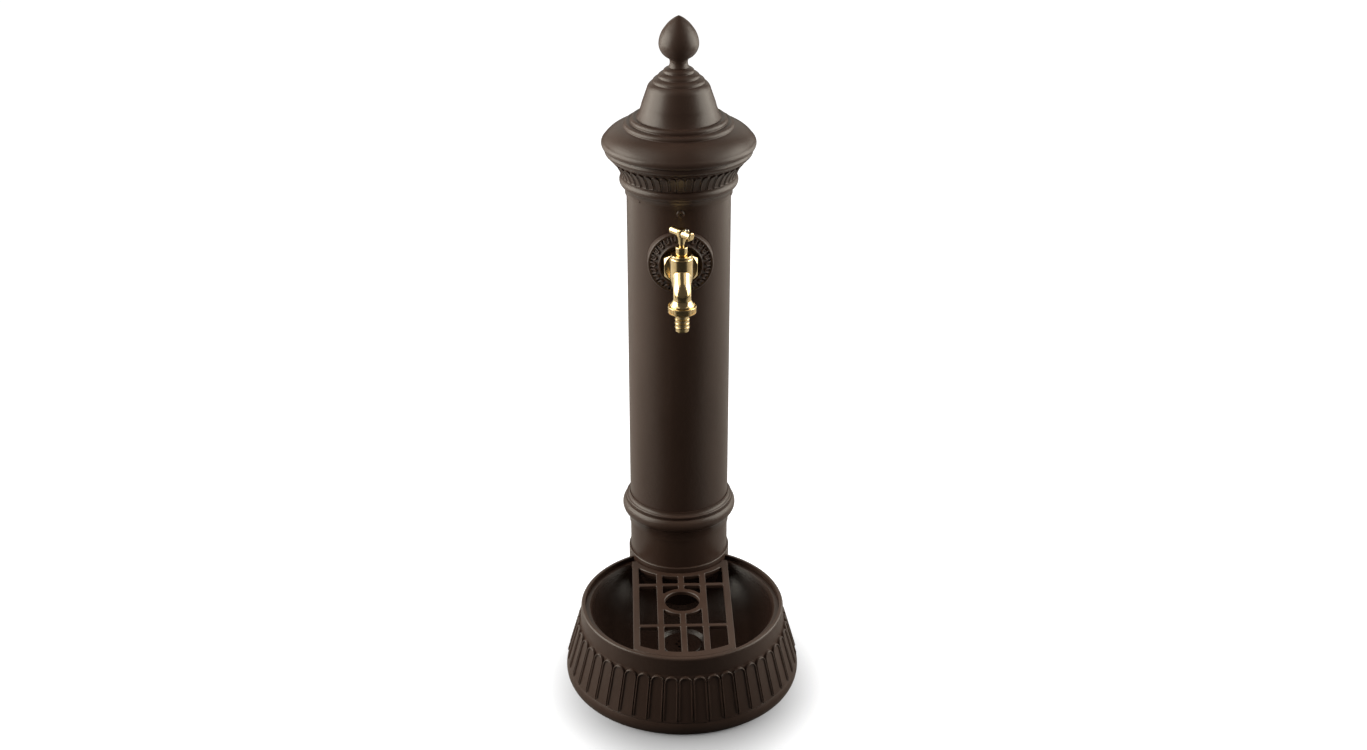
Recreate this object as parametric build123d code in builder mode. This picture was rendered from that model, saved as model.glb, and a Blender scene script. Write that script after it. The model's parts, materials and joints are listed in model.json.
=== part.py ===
from build123d import *
import os
from math import cos, pi, radians, sin, sqrt

# A garden water fountain: a fluted basin with a pedestal, a round column, a roof
# with an acorn finial and a brass tap in front. Sizes are in millimetres. The
# origin is the column axis on the ground, the front is -Y and +Z is up.

# Clearances that the fits use
slip_gap = 0.1
thread_gap = 0.05
running_gap = 0.3
casting_gap = 0.3
loose_gap = 1.0

# Column
tube_radius = 58.0
tube_wall = 3.0
pedestal_height = 94.6
pedestal_wall = 2.2
socket_depth = 44.6
lower_column_length = 100.0
tube_length = 403.0
capital_height = 49.0
roof_height = 88.0
finial_height = 56.8

# Skirt and bowl of the basin, turned about their own axis in front of the column
basin_reach = 121.0
basin_foot_radius = 133.5
basin_rim_radius = 116.8
basin_height = 89.5
basin_wall = 5.0
bowl_wall = 3.5
bowl_flange_thickness = 4.0
shelf_width = 3.0
shelf_thickness = 3.0
foot_band_height = 17.0
foot_band_bulge = 1.8
rim_band_height = 21.5
rim_lip_width = 4.6
rim_ledge_depth = 5.0
rim_ledge_width = 5.5
bowl_floor_height = 28.0
flute_count = 48
flute_gap = 2.0
flute_relief = 1.6
flute_top_gap = 0.5
flute_edge = 0.9

# Drain
drain_thread_radius = 16.6
drain_bore_radius = 13.0
drain_flange_radius = 23.0
drain_flange_thickness = 3.0
drain_flange_round = 1.2
drain_flange_inset = 1.5
drain_boss_width = 6.0
drain_boss_depth = 6.0
drain_tail_end = 3.0
drain_groove_width = 1.0
drain_groove_depth = 0.8
drain_washer_thickness = 2.0
drain_nut_rim = 12.0
drain_nut_height = 8.0
strainer_radius = 17.4
strainer_thickness = 1.5
strainer_sink = 0.4
strainer_hole_radius = 1.9

# Grate
grate_half_width = 57.0
grate_thickness = 4.4
grate_side_bar = 7.5
grate_inner_bar = 7.0
grate_inner_bar_x = 25.5
grate_cross_bar = 5.5
grate_back_cross_y = -85.5
grate_front_cross_y = -170.0
grate_front_bar = 10.0
grate_back_bar = 7.5
grate_ring_radius = 20.0
grate_ring_width = 6.5
grate_gap = 1.2
ledge_share = 0.55
grate_corner = 1.2
grate_edge = 0.6

# Joint ring, moulded round the joint of the two column lengths
spigot_length = 30.0
casting_wall = 4.0
ring_lower_height = 19.0
ring_upper_height = 21.0
ring_lip = 1.0
ring_projection = 8.9
ring_torus_height = 11.2
ring_bead = 2.4
ring_screw_angles = (45, 135)

# Capital
capital_lip_depth = 4.0
capital_lip_wall = 1.6
collar_radius = 65.8
collar_rise = 11.0
collar_half_height = 5.2
frieze_foot_radius = 62.5
frieze_height = 22.0
frieze_tongues = 48
frieze_gap = 1.6
frieze_relief = 1.1
cornice_radius = 81.8
cornice_step = 5.0
roof_seat_radius = 70.0
roof_rim_depth = 4.0

# Roof and finial
brim_radius = 85.1
brim_thickness = 9.0
brim_slope_height = 13.8
lower_bead_radius = 60.4
upper_bead_radius = 53.2
bead_height = 6.0
bell_foot_radius = 45.2
bell_top_radius = 34.0
bell_height = 36.0
roof_steps = 3
roof_step_swell = 0.7
finial_base_radius = 11.2
finial_neck_radius = 9.8
finial_radius = 21.8

# Anchor plate, tie rod and water inlet inside the pedestal and column
plate_radius = 50.0
plate_thickness = 6.0
plate_ring_thickness = 8.0
plate_grip = 6.0
anchor_circle_radius = 32.0
anchor_hole_radius = 5.0
tie_rod_radius = 5.0
tie_rod_nut_flats = 17.0
tie_rod_nut_height = 8.0
tie_rod_in_finial = 22.0
washer_thickness = 1.6
riser_radius = 7.5
riser_wall = 1.0
riser_set_back = 27.0
inlet_thread_radius = 9.3
inlet_thread_depth = 11.0
inlet_outer_radius = 13.5
inlet_flats = 30.0
inlet_flange_thickness = 8.0
tie_rod_foot = 0.8
anchor_count = 3
pipe_socket_depth = 8.0
compression_radius = 10.5
compression_grip = 6.0
compression_nut_flats = 26.0
compression_nut_height = 14.0
spacer_thickness = 6.0
lower_spacer_rise = 100.0
upper_spacer_drop = 88.0

# Rosette and tap
tap_drop = 65.0
rosette_radius = 36.0
rosette_stand_off = 4.5
rosette_rise = 4.5
rosette_recess_radius = 22.6
rosette_recess_depth = -0.5
rosette_rim_width = 3.4
rosette_lip_width = 1.4
rosette_tongues = 24
rosette_tongue_gap = 1.7
rosette_relief_height = 1.1
spigot_radius = 10.3
spigot_inside = 18.0
saddle_depth = 4.5
saddle_radius = 17.0
lock_nut_flats = 27.0
lock_nut_thickness = 5.0
elbow_radius = 14.0
elbow_drop = 22.0
wall_washer_thickness = 1.0
wall_nut_flats = 36.5
wall_nut_thickness = 12.0
wall_nut_corner = 2.8
wall_nut_chamfer = 3.2
inlet_shoulder = 3.0
inlet_way_radius = 3.8
inlet_way_drop = 5.5
spindle_reach = 97.0
barrel_radius = 12.3
barrel_waist_radius = 10.9
barrel_top_rise = 22.5
barrel_foot_drop = 15.0
barrel_foot_round = 6.0
barrel_edge = 1.2
spout_radius = 9.7
spout_bore_radius = 4.5
spout_reach = 119.0
spout_rise = 6.0
spout_corner_drop = 9.0
spout_bend = 12.0
spout_end_drop = 26.0
outlet_thread_radius = 13.2
outlet_thread_length = 3.0
spout_flare = 7.0
seat_rise = 0.5
seat_wall = 3.5
seat_hole_radius = 4.5
chamber_drop = 9.5
bonnet_thread_radius = 9.5
bonnet_depth = 10.0
bonnet_collar_radius = 11.6
bonnet_collar_height = 2.5
bonnet_neck_radius = 5.2
bonnet_neck_height = 6.7
gland_nut_radius = 6.5
gland_nut_height = 8.4
gland_lid = 2.7
packing_radius = 4.4
packing_height = 3.0
seat_washer_radius = 7.5
seat_washer_thickness = 3.0
jumper_radius = 8.0
jumper_thickness = 3.0
jumper_stem_radius = 3.0
jumper_stem_length = 5.5
spindle_drum_radius = 6.0
spindle_drum_height = 8.0
spindle_radius = 2.8
handle_rise = 49.5
handle_length = 31.0
handle_bar_radius = 4.4
handle_hub_radius = 5.2
handle_hub_foot_radius = 3.5
handle_hub_below = 12.0
handle_hub_above = 4.9
handle_boss_reach = 8.3
handle_boss_radius = 2.7
handle_boss_below = 6.4
handle_boss_above = 4.9
handle_turn_at_rest = -48.0
handle_screw_radius = 2.0
handle_screw_shank = 1.2
handle_screw_depth = 7.0
handle_screw_head = 1.7
valve_lift = 4.5
hose_washer_thickness = 2.0
hose_tail_flange = 2.0
hose_nut_radius = 15.5
hose_nut_height = 7.6
hose_nut_floor = 2.0
hose_tail_length = 24.0
hose_tail_core = 7.2
hose_tail_radius = 8.0
hose_tail_ridges = 4
hose_tail_pitch = 4.6
hose_bore_radius = 5.4

# Small screws
top_screw_drop = 9.0
top_screw_radius = 2.0
top_screw_head_radius = 4.3
top_screw_head_height = 2.2
top_screw_angles = (-90, 30, 150)
set_screw_radius = 1.2
set_screw_angles = (-138, -18, 102)

# Heights worked out from the lengths above
socket_floor = pedestal_height - socket_depth
joint_height = socket_floor + lower_column_length
tube_top = joint_height + tube_length
tap_height = tube_top - tap_drop
capital_top = tube_top + capital_height
roof_top = capital_top + roof_height
tube_bore = tube_radius - tube_wall
pedestal_radius = tube_radius + pedestal_wall
basin_y = -basin_reach
spindle_y = -spindle_reach
spout_y = -spout_reach
ledge_height = basin_height - rim_ledge_depth
lip_inner_radius = basin_rim_radius - rim_lip_width
bowl_radius = lip_inner_radius - rim_ledge_width
barrel_top = tap_height + barrel_top_rise
handle_height = tap_height + handle_rise
spout_end = tap_height - spout_end_drop
drain_seat = bowl_floor_height - drain_flange_inset

column_axis = Axis((0, 0, 0), (0, 0, 1))
basin_axis = Axis((0, basin_y, 0), (0, 0, 1))
spindle_axis = Axis((0, spindle_y, 0), (0, 0, 1))
spout_axis = Axis((0, spout_y, 0), (0, 0, 1))
tap_axis = Axis((0, 0, tap_height), (0, 1, 0))
basin_plane = Plane((0, basin_y, 0), x_dir=(1, 0, 0), z_dir=(0, -1, 0))
spindle_plane = Plane((0, spindle_y, 0), x_dir=(1, 0, 0), z_dir=(0, -1, 0))
spout_plane = Plane((0, spout_y, 0), x_dir=(1, 0, 0), z_dir=(0, -1, 0))


def front_plane(y):
    """A plane that faces the front at the tap's height."""
    return Plane((0, y, tap_height), x_dir=(1, 0, 0), z_dir=(0, -1, 0))


def level(height, y=0.0):
    """A level plane at a height, with its origin on the column axis or in front of it."""
    return Plane((0, y, height), x_dir=(1, 0, 0), z_dir=(0, 0, 1))


def hexagon(flats):
    """A hexagon with two flats at its left and right."""
    return RegularPolygon(flats / 2, 6, major_radius=False, rotation=30)


def radial_plane(angle, height, radius=0.0):
    """A plane that faces away from the column axis, at an angle from +X."""
    out = (cos(radians(angle)), sin(radians(angle)), 0)
    origin = (radius * out[0], radius * out[1], height)
    return Plane(origin, x_dir=(-out[1], out[0], 0), z_dir=out)


def finish(builder, name):
    """Label a finished piece and write it."""
    builder.part.label = name
    export_step(builder.part, f"parts/{name}.step")


os.makedirs("parts", exist_ok=True)

# Basin: skirt with rim and flutes, bowl that hangs in it, pedestal behind the bowl
bowl_depth = ledge_height - bowl_floor_height
bowl_sphere = (bowl_radius**2 + bowl_depth**2) / (2 * bowl_depth)
bowl_centre = bowl_floor_height + bowl_sphere
bowl_under = bowl_sphere + bowl_wall
shelf_height = ledge_height - bowl_flange_thickness
skirt_top = basin_height - rim_band_height
skirt_top_radius = basin_rim_radius + 1.0
skirt_foot_radius = basin_foot_radius - 1.4
drain_boss_radius = drain_flange_radius + drain_boss_width
pedestal_foot_radius = pedestal_radius + foot_band_bulge + 3.0


def skirt_radius(height):
    """Radius of the plain skirt under the flutes."""
    share = (height - foot_band_height) / (skirt_top - foot_band_height)
    return skirt_foot_radius + share * (skirt_top_radius - skirt_foot_radius)


def bowl_height(radius, sphere=bowl_sphere):
    """Height of the bowl's round surface at a distance from the basin's axis."""
    return bowl_centre - sqrt(sphere**2 - radius**2)


def ledge_outline(margin=0.0):
    """Front part of a round ledge on the pedestal, made larger by a margin."""
    Circle(pedestal_radius + grate_back_bar + margin)
    with Locations((0, margin - pedestal_radius * ledge_share)):
        Rectangle(
            4 * pedestal_radius,
            2 * pedestal_radius,
            align=(Align.CENTER, Align.MAX),
            mode=Mode.INTERSECT,
        )


# Room that the skirt and the bowl leave for the pedestal and its ledge
with BuildPart() as pedestal_room:
    with BuildSketch(level(0)):
        Circle(pedestal_radius + casting_gap)
    extrude(amount=pedestal_height)
    with BuildSketch(level(0)):
        Circle(pedestal_foot_radius + casting_gap)
    extrude(amount=foot_band_height + 1.5 + casting_gap)
    with BuildSketch(level(ledge_height)):
        ledge_outline(casting_gap)
    extrude(amount=-(rim_ledge_depth + casting_gap))

# One raised flute with an arched top, at the front of the basin
flute_foot = foot_band_height - 2.0
flute_arch = pi * skirt_radius(skirt_top - 10.0) / flute_count - flute_gap / 2
flute_shoulder = skirt_top - flute_top_gap - flute_arch
flute_foot_half = pi * skirt_radius(flute_foot) / flute_count - flute_gap / 2

with BuildPart() as flute:
    with BuildSketch(Plane.XZ) as flute_band:
        with BuildLine():
            Polyline(
                (skirt_radius(flute_foot) - flute_relief, flute_foot),
                (skirt_radius(flute_foot) + flute_relief, flute_foot),
                (skirt_radius(skirt_top) + flute_relief, skirt_top),
                (skirt_radius(skirt_top) - flute_relief, skirt_top),
                close=True,
            )
        make_face()
    revolve(axis=Axis.Z)
    with BuildSketch(Plane.XZ) as flute_outline:
        with BuildLine():
            Polyline(
                (-flute_arch, flute_shoulder),
                (-flute_foot_half, flute_foot),
                (flute_foot_half, flute_foot),
                (flute_arch, flute_shoulder),
            )
            ThreePointArc(
                (flute_arch, flute_shoulder),
                (0, flute_shoulder + flute_arch),
                (-flute_arch, flute_shoulder),
            )
        make_face()
    extrude(amount=basin_foot_radius + 20, mode=Mode.INTERSECT)
    chamfer(flute.faces().sort_by(Axis.Y)[0].edges(), flute_edge)

with BuildPart() as basin_skirt:
    with BuildSketch(basin_plane) as skirt_section:
        with BuildLine():
            Line((basin_foot_radius - basin_wall, 0), (basin_foot_radius, 0))
            ThreePointArc(
                (basin_foot_radius, 0),
                (basin_foot_radius + foot_band_bulge, foot_band_height * 0.55),
                (skirt_foot_radius + 0.8, foot_band_height - 0.8),
            )
            Line(
                (skirt_foot_radius + 0.8, foot_band_height - 0.8),
                (skirt_foot_radius, foot_band_height),
            )
            Line((skirt_foot_radius, foot_band_height), (skirt_top_radius, skirt_top))
            Line((skirt_top_radius, skirt_top), (basin_rim_radius, basin_height - 2.6))
            ThreePointArc(
                (basin_rim_radius, basin_height - 2.6),
                (basin_rim_radius - 0.9, basin_height - 0.7),
                (basin_rim_radius - 2.6, basin_height),
            )
            Polyline(
                (basin_rim_radius - 2.6, basin_height),
                (lip_inner_radius, basin_height),
                (lip_inner_radius, shelf_height),
                (lip_inner_radius - shelf_width, shelf_height),
                (lip_inner_radius - shelf_width, shelf_height - shelf_thickness),
                (skirt_radius(skirt_top) - basin_wall, skirt_top),
                (skirt_foot_radius - basin_wall, foot_band_height),
                (basin_foot_radius - basin_wall, 0),
            )
        make_face()
    revolve(axis=basin_axis)
    with Locations((0, basin_y, 0)):
        with PolarLocations(0, flute_count):
            add(flute.part)
    add(pedestal_room.part, mode=Mode.SUBTRACT)
finish(basin_skirt, "basin_skirt")

with BuildPart() as basin_bowl:
    with BuildSketch(basin_plane) as bowl_section:
        with BuildLine():
            flange_radius = lip_inner_radius - casting_gap
            boss_foot = drain_boss_radius + 3.0
            flange_root = sqrt(bowl_under**2 - (bowl_centre - shelf_height) ** 2)
            Polyline(
                (flange_root, shelf_height),
                (flange_radius, shelf_height),
                (flange_radius, ledge_height),
                (bowl_radius, ledge_height),
            )
            ThreePointArc(
                (bowl_radius, ledge_height),
                (bowl_radius * 0.7, bowl_height(bowl_radius * 0.7)),
                (drain_boss_radius, bowl_height(drain_boss_radius)),
            )
            Polyline(
                (drain_boss_radius, bowl_height(drain_boss_radius)),
                (drain_flange_radius + 1.5, bowl_floor_height),
                (drain_thread_radius + loose_gap / 2, bowl_floor_height),
                (drain_thread_radius + loose_gap / 2, bowl_floor_height - drain_boss_depth),
                (drain_boss_radius, bowl_floor_height - drain_boss_depth),
                (boss_foot, bowl_height(boss_foot, bowl_under)),
            )
            ThreePointArc(
                (boss_foot, bowl_height(boss_foot, bowl_under)),
                (bowl_radius * 0.7, bowl_height(bowl_radius * 0.7, bowl_under)),
                (flange_root, shelf_height),
            )
        make_face()
    revolve(axis=basin_axis)
    add(pedestal_room.part, mode=Mode.SUBTRACT)
    # Recess of the drain flange
    with BuildSketch(level(drain_seat, basin_y)):
        Circle(drain_flange_radius + loose_gap / 2)
    extrude(amount=basin_wall * 2, mode=Mode.SUBTRACT)
finish(basin_bowl, "basin_bowl")

with BuildPart() as pedestal:
    with BuildSketch(Plane.XZ) as pedestal_section:
        with BuildLine():
            Polyline((0, pedestal_height), (0, 0), (pedestal_radius + 3.0, 0))
            ThreePointArc(
                (pedestal_radius + 3.0, 0),
                (pedestal_foot_radius, foot_band_height * 0.55),
                (pedestal_radius + 1.5, foot_band_height),
            )
            Polyline(
                (pedestal_radius + 1.5, foot_band_height),
                (pedestal_radius, foot_band_height + 1.5),
                (pedestal_radius, pedestal_height - 0.6),
                (pedestal_radius - 0.6, pedestal_height),
                (0, pedestal_height),
            )
        make_face()
    revolve(axis=column_axis)
    with BuildSketch(level(ledge_height)):
        ledge_outline()
    extrude(amount=-rim_ledge_depth)
    # Column socket, hollow below it and seat of the anchor plate
    with BuildSketch(level(socket_floor)):
        Circle(tube_radius + slip_gap)
    extrude(amount=socket_depth, mode=Mode.SUBTRACT)
    with BuildSketch(level(plate_thickness + plate_ring_thickness)):
        Circle(tube_bore - casting_wall)
    extrude(amount=socket_floor, mode=Mode.SUBTRACT)
    with BuildSketch(level(0)):
        Circle(plate_radius - plate_grip)
    extrude(amount=socket_floor, mode=Mode.SUBTRACT)
    with BuildSketch(level(0)):
        Circle(plate_radius + loose_gap)
    extrude(amount=plate_thickness, mode=Mode.SUBTRACT)
finish(pedestal, "pedestal")

# Drain: flange, strainer, washer and back nut
flange_top = drain_seat + drain_flange_thickness
strainer_seat = flange_top - strainer_sink - strainer_thickness
drain_washer_top = bowl_floor_height - drain_boss_depth
drain_washer_seat = drain_washer_top - drain_washer_thickness
drain_nut_foot = drain_washer_seat - drain_nut_height

with BuildPart() as drain_flange:
    with BuildSketch(level(drain_seat, basin_y)):
        Circle(drain_flange_radius)
    extrude(amount=drain_flange_thickness)
    fillet(drain_flange.edges().sort_by(Axis.Z)[-1], drain_flange_round)
    with BuildSketch(level(drain_tail_end, basin_y)):
        Circle(drain_thread_radius)
    extrude(amount=drain_seat - drain_tail_end)
    # Groove between the nut's thread and the free end of the tail
    with BuildSketch(level(drain_nut_foot, basin_y)):
        Circle(drain_thread_radius)
        Circle(drain_thread_radius - drain_groove_depth, mode=Mode.SUBTRACT)
    extrude(amount=-drain_groove_width, mode=Mode.SUBTRACT)
    with BuildSketch(level(drain_tail_end, basin_y)):
        Circle(drain_bore_radius)
    extrude(amount=flange_top, mode=Mode.SUBTRACT)
    with BuildSketch(level(strainer_seat, basin_y)):
        Circle(strainer_radius + slip_gap)
    extrude(amount=flange_top, mode=Mode.SUBTRACT)
finish(drain_flange, "drain_flange")

with BuildPart() as drain_strainer:
    with BuildSketch(level(strainer_seat, basin_y)):
        Circle(strainer_radius)
        Circle(strainer_hole_radius, mode=Mode.SUBTRACT)
        with PolarLocations(drain_bore_radius / 2, 6):
            Circle(strainer_hole_radius, mode=Mode.SUBTRACT)
    extrude(amount=strainer_thickness)
finish(drain_strainer, "drain_strainer")

with BuildPart() as drain_washer:
    with BuildSketch(level(drain_washer_seat, basin_y)):
        Circle(drain_boss_radius - 1.0)
        Circle(drain_thread_radius + slip_gap, mode=Mode.SUBTRACT)
    extrude(amount=drain_washer_thickness)
finish(drain_washer, "drain_washer")

with BuildPart() as drain_nut:
    with BuildSketch(level(drain_nut_foot, basin_y)):
        hexagon(2 * drain_thread_radius + drain_nut_rim)
        Circle(drain_thread_radius + thread_gap, mode=Mode.SUBTRACT)
    extrude(amount=drain_nut_height)
finish(drain_nut, "drain_nut")

# Grate: bars and a ring inside an outline that follows rim and pedestal
grate_reach = lip_inner_radius - grate_gap
grate_back = pedestal_radius + grate_gap
grate_field = grate_half_width - grate_side_bar

with BuildPart() as basin_grate:
    with BuildSketch(level(ledge_height)) as grate_outline:
        with Locations((0, basin_y)):
            Circle(grate_reach)
            Rectangle(2 * grate_half_width, 2 * grate_reach, mode=Mode.INTERSECT)
        with Locations((0, -pedestal_radius * ledge_share)):
            Rectangle(
                2 * grate_half_width,
                2 * grate_reach,
                align=(Align.CENTER, Align.MAX),
                mode=Mode.INTERSECT,
            )
        Circle(grate_back, mode=Mode.SUBTRACT)
    extrude(amount=grate_thickness)
    with BuildSketch(level(ledge_height)) as grate_openings:
        with Locations((0, basin_y)):
            Circle(grate_reach - grate_front_bar)
            Rectangle(2 * grate_field, 2 * grate_reach, mode=Mode.INTERSECT)
            Rectangle(grate_inner_bar, 2 * grate_reach, mode=Mode.SUBTRACT)
            Circle(grate_ring_radius + grate_ring_width, mode=Mode.SUBTRACT)
        with Locations((-grate_inner_bar_x, basin_y), (grate_inner_bar_x, basin_y)):
            Rectangle(grate_inner_bar, 2 * grate_reach, mode=Mode.SUBTRACT)
        with Locations((0, grate_back_cross_y), (0, grate_front_cross_y)):
            Rectangle(2 * grate_field, grate_cross_bar, mode=Mode.SUBTRACT)
        Circle(grate_back + grate_back_bar, mode=Mode.SUBTRACT)
        with Locations((0, basin_y)):
            Circle(grate_ring_radius)
    extrude(amount=grate_thickness, mode=Mode.SUBTRACT)
    fillet(basin_grate.edges().filter_by(Axis.Z), grate_corner)
    chamfer(basin_grate.faces().sort_by(Axis.Z)[-1].edges(), grate_edge)
finish(basin_grate, "basin_grate")

# Column: lower length, joint ring with its screws, and the long tube
with BuildPart() as lower_column:
    with BuildSketch(level(socket_floor)):
        Circle(tube_radius)
    extrude(amount=lower_column_length)
    with BuildSketch(level(joint_height)):
        Circle(tube_bore - slip_gap)
    extrude(amount=spigot_length)
    with BuildSketch(level(socket_floor)):
        Circle(tube_bore - casting_wall)
    extrude(amount=lower_column_length + spigot_length, mode=Mode.SUBTRACT)
finish(lower_column, "lower_column")

ring_bore = tube_radius + slip_gap
ring_bottom = joint_height - ring_lower_height
ring_top = joint_height + ring_upper_height
ring_screw_height = ring_bottom + 5.0

with BuildPart() as joint_ring:
    with BuildSketch(Plane.XZ) as ring_section:
        with BuildLine():
            bead_foot = joint_height + ring_torus_height + 1.6
            Line((ring_bore, ring_bottom), (ring_bore + ring_lip, ring_bottom))
            ThreePointArc(
                (ring_bore + ring_lip, ring_bottom),
                (ring_bore + ring_lip + 1.0, ring_bottom + ring_lower_height * 0.45),
                (ring_bore + ring_projection * 0.5, joint_height - 4.2),
            )
            ThreePointArc(
                (ring_bore + ring_projection * 0.5, joint_height - 4.2),
                (ring_bore + ring_projection, joint_height + ring_torus_height * 0.4),
                (ring_bore + ring_projection * 0.6, joint_height + ring_torus_height),
            )
            Polyline(
                (ring_bore + ring_projection * 0.6, joint_height + ring_torus_height),
                (ring_bore + ring_projection * 0.42, joint_height + ring_torus_height + 0.6),
                (ring_bore + ring_projection * 0.42, bead_foot),
            )
            ThreePointArc(
                (ring_bore + ring_projection * 0.42, bead_foot),
                (ring_bore + ring_projection * 0.54, bead_foot + ring_bead * 0.7),
                (ring_bore + ring_projection * 0.34, bead_foot + ring_bead * 1.6),
            )
            ThreePointArc(
                (ring_bore + ring_projection * 0.34, bead_foot + ring_bead * 1.6),
                (ring_bore + ring_lip + 0.4, ring_top - 2.4),
                (ring_bore + ring_lip, ring_top),
            )
            Polyline(
                (ring_bore + ring_lip, ring_top),
                (ring_bore, ring_top),
                (ring_bore, ring_bottom),
            )
        make_face()
    revolve(axis=column_axis)
    for angle in ring_screw_angles:
        with BuildSketch(radial_plane(angle, ring_screw_height)):
            Circle(set_screw_radius + thread_gap)
        extrude(amount=tube_radius + ring_projection, mode=Mode.SUBTRACT)
finish(joint_ring, "joint_ring")

with BuildPart() as joint_ring_screws:
    for angle in ring_screw_angles:
        with BuildSketch(radial_plane(angle, ring_screw_height, ring_bore)):
            Circle(set_screw_radius)
        extrude(amount=ring_lip + 0.8)
finish(joint_ring_screws, "joint_ring_screws")

top_screw_height = tube_top - top_screw_drop

with BuildPart() as column_tube:
    with BuildSketch(level(joint_height)):
        Circle(tube_radius)
        Circle(tube_bore, mode=Mode.SUBTRACT)
    extrude(amount=tube_length)
    with BuildSketch(front_plane(0)):
        Circle(spigot_radius + loose_gap)
    extrude(amount=2 * tube_radius, mode=Mode.SUBTRACT)
    for angle in top_screw_angles:
        with BuildSketch(radial_plane(angle, top_screw_height)):
            Circle(top_screw_radius + slip_gap)
        extrude(amount=2 * tube_radius, mode=Mode.SUBTRACT)
finish(column_tube, "column_tube")

with BuildPart() as column_top_screws:
    for angle in top_screw_angles:
        head_plane = radial_plane(angle, top_screw_height, tube_radius + slip_gap)
        with BuildSketch(head_plane):
            Circle(top_screw_head_radius)
        extrude(amount=top_screw_head_height)
        with BuildSketch(head_plane):
            Circle(top_screw_radius)
        extrude(amount=-(tube_wall + casting_wall + slip_gap))
    heads = column_top_screws.faces().filter_by(GeomType.PLANE).sort_by(
        lambda face: -sqrt(face.center().X ** 2 + face.center().Y ** 2)
    )[: len(top_screw_angles)]
    for head in heads:
        fillet(head.edges(), top_screw_head_height * 0.45)
finish(column_top_screws, "column_top_screws")

# Capital: lip over the tube, collar ring, flared frieze with tongues, cornice
lip_bottom = tube_top - capital_lip_depth
lip_radius = tube_radius + slip_gap + capital_lip_wall
collar_height = tube_top + collar_rise
frieze_foot = collar_height + collar_half_height + 1.5
frieze_top = frieze_foot + frieze_height
frieze_mid_radius = frieze_foot_radius + 0.28 * (cornice_radius - frieze_foot_radius)


def frieze_arc(offset):
    """The hollow curve of the frieze, moved out by an offset."""
    return ThreePointArc(
        (frieze_foot_radius + offset, frieze_foot - offset * 0.3),
        (frieze_mid_radius + offset * 0.9, frieze_foot + frieze_height * 0.56 - offset * 0.4),
        (cornice_radius - cornice_step + offset * 0.4, frieze_top - offset * 0.9),
    )


with BuildPart() as frieze_tongue:
    with BuildSketch(Plane.XZ) as tongue_band:
        with BuildLine():
            inner_arc = frieze_arc(-frieze_relief)
            outer_arc = frieze_arc(frieze_relief)
            Line(inner_arc @ 0, outer_arc @ 0)
            Line(inner_arc @ 1, outer_arc @ 1)
        make_face()
    revolve(axis=Axis.Z)
    tongue_foot_half = pi * frieze_foot_radius / frieze_tongues - frieze_gap / 2
    tongue_top_half = pi * frieze_mid_radius / frieze_tongues - frieze_gap / 2
    tongue_arch_height = frieze_foot + frieze_height * 0.86 - tongue_top_half
    with BuildSketch(Plane.XZ) as tongue_outline:
        with BuildLine():
            Polyline(
                (-tongue_top_half, tongue_arch_height),
                (-tongue_foot_half, frieze_foot - 2 * frieze_relief),
                (tongue_foot_half, frieze_foot - 2 * frieze_relief),
                (tongue_top_half, tongue_arch_height),
            )
            ThreePointArc(
                (tongue_top_half, tongue_arch_height),
                (0, tongue_arch_height + tongue_top_half),
                (-tongue_top_half, tongue_arch_height),
            )
        make_face()
    extrude(amount=2 * cornice_radius, mode=Mode.INTERSECT)

with BuildPart() as capital:
    with BuildSketch(Plane.XZ) as capital_section:
        with BuildLine():
            spigot_outer = tube_bore - slip_gap
            spigot_inner = spigot_outer - casting_wall
            Polyline(
                (spigot_inner, tube_top - spigot_length),
                (spigot_outer, tube_top - spigot_length),
                (spigot_outer, tube_top),
                (tube_radius + slip_gap, tube_top),
                (tube_radius + slip_gap, lip_bottom),
                (lip_radius, lip_bottom),
                (lip_radius, tube_top - 0.6),
            )
            collar_foot = frieze_foot_radius + 0.4
            ThreePointArc(
                (lip_radius, tube_top - 0.6),
                (lip_radius + 1.0, tube_top + 2.6),
                (collar_foot, collar_height - collar_half_height),
            )
            ThreePointArc(
                (collar_foot, collar_height - collar_half_height),
                (collar_radius, collar_height),
                (collar_foot, collar_height + collar_half_height),
            )
            Polyline(
                (collar_foot, collar_height + collar_half_height),
                (frieze_foot_radius, collar_height + collar_half_height + 0.5),
                (frieze_foot_radius, frieze_foot),
            )
            flare = frieze_arc(0)
            cornice_foot = frieze_top + 1.4
            Polyline(
                flare @ 1,
                (cornice_radius - cornice_step + 1.2, frieze_top),
                (cornice_radius - cornice_step + 1.2, cornice_foot),
            )
            ThreePointArc(
                (cornice_radius - cornice_step + 1.2, cornice_foot),
                (cornice_radius - 0.9, cornice_foot + 1.8),
                (cornice_radius, cornice_foot + 4.6),
            )
            Polyline(
                (cornice_radius, cornice_foot + 4.6),
                (cornice_radius - 1.5, capital_top),
                (roof_seat_radius, capital_top),
                (roof_seat_radius, capital_top - roof_rim_depth - 0.3),
                (roof_seat_radius - 12.0, frieze_top - 8.0),
                (spigot_inner, collar_height + 2.0),
                (spigot_inner, tube_top - spigot_length),
            )
        make_face()
    revolve(axis=column_axis)
    with PolarLocations(0, frieze_tongues):
        add(frieze_tongue.part)
    for angle in top_screw_angles:
        with BuildSketch(radial_plane(angle, top_screw_height)):
            Circle(top_screw_radius + thread_gap)
        extrude(amount=tube_bore, mode=Mode.SUBTRACT)
    for angle in set_screw_angles:
        with BuildSketch(radial_plane(angle, lip_bottom + capital_lip_depth / 2, tube_radius)):
            Circle(set_screw_radius + thread_gap)
        extrude(amount=2 * capital_lip_wall, mode=Mode.SUBTRACT)
finish(capital, "capital")

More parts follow.
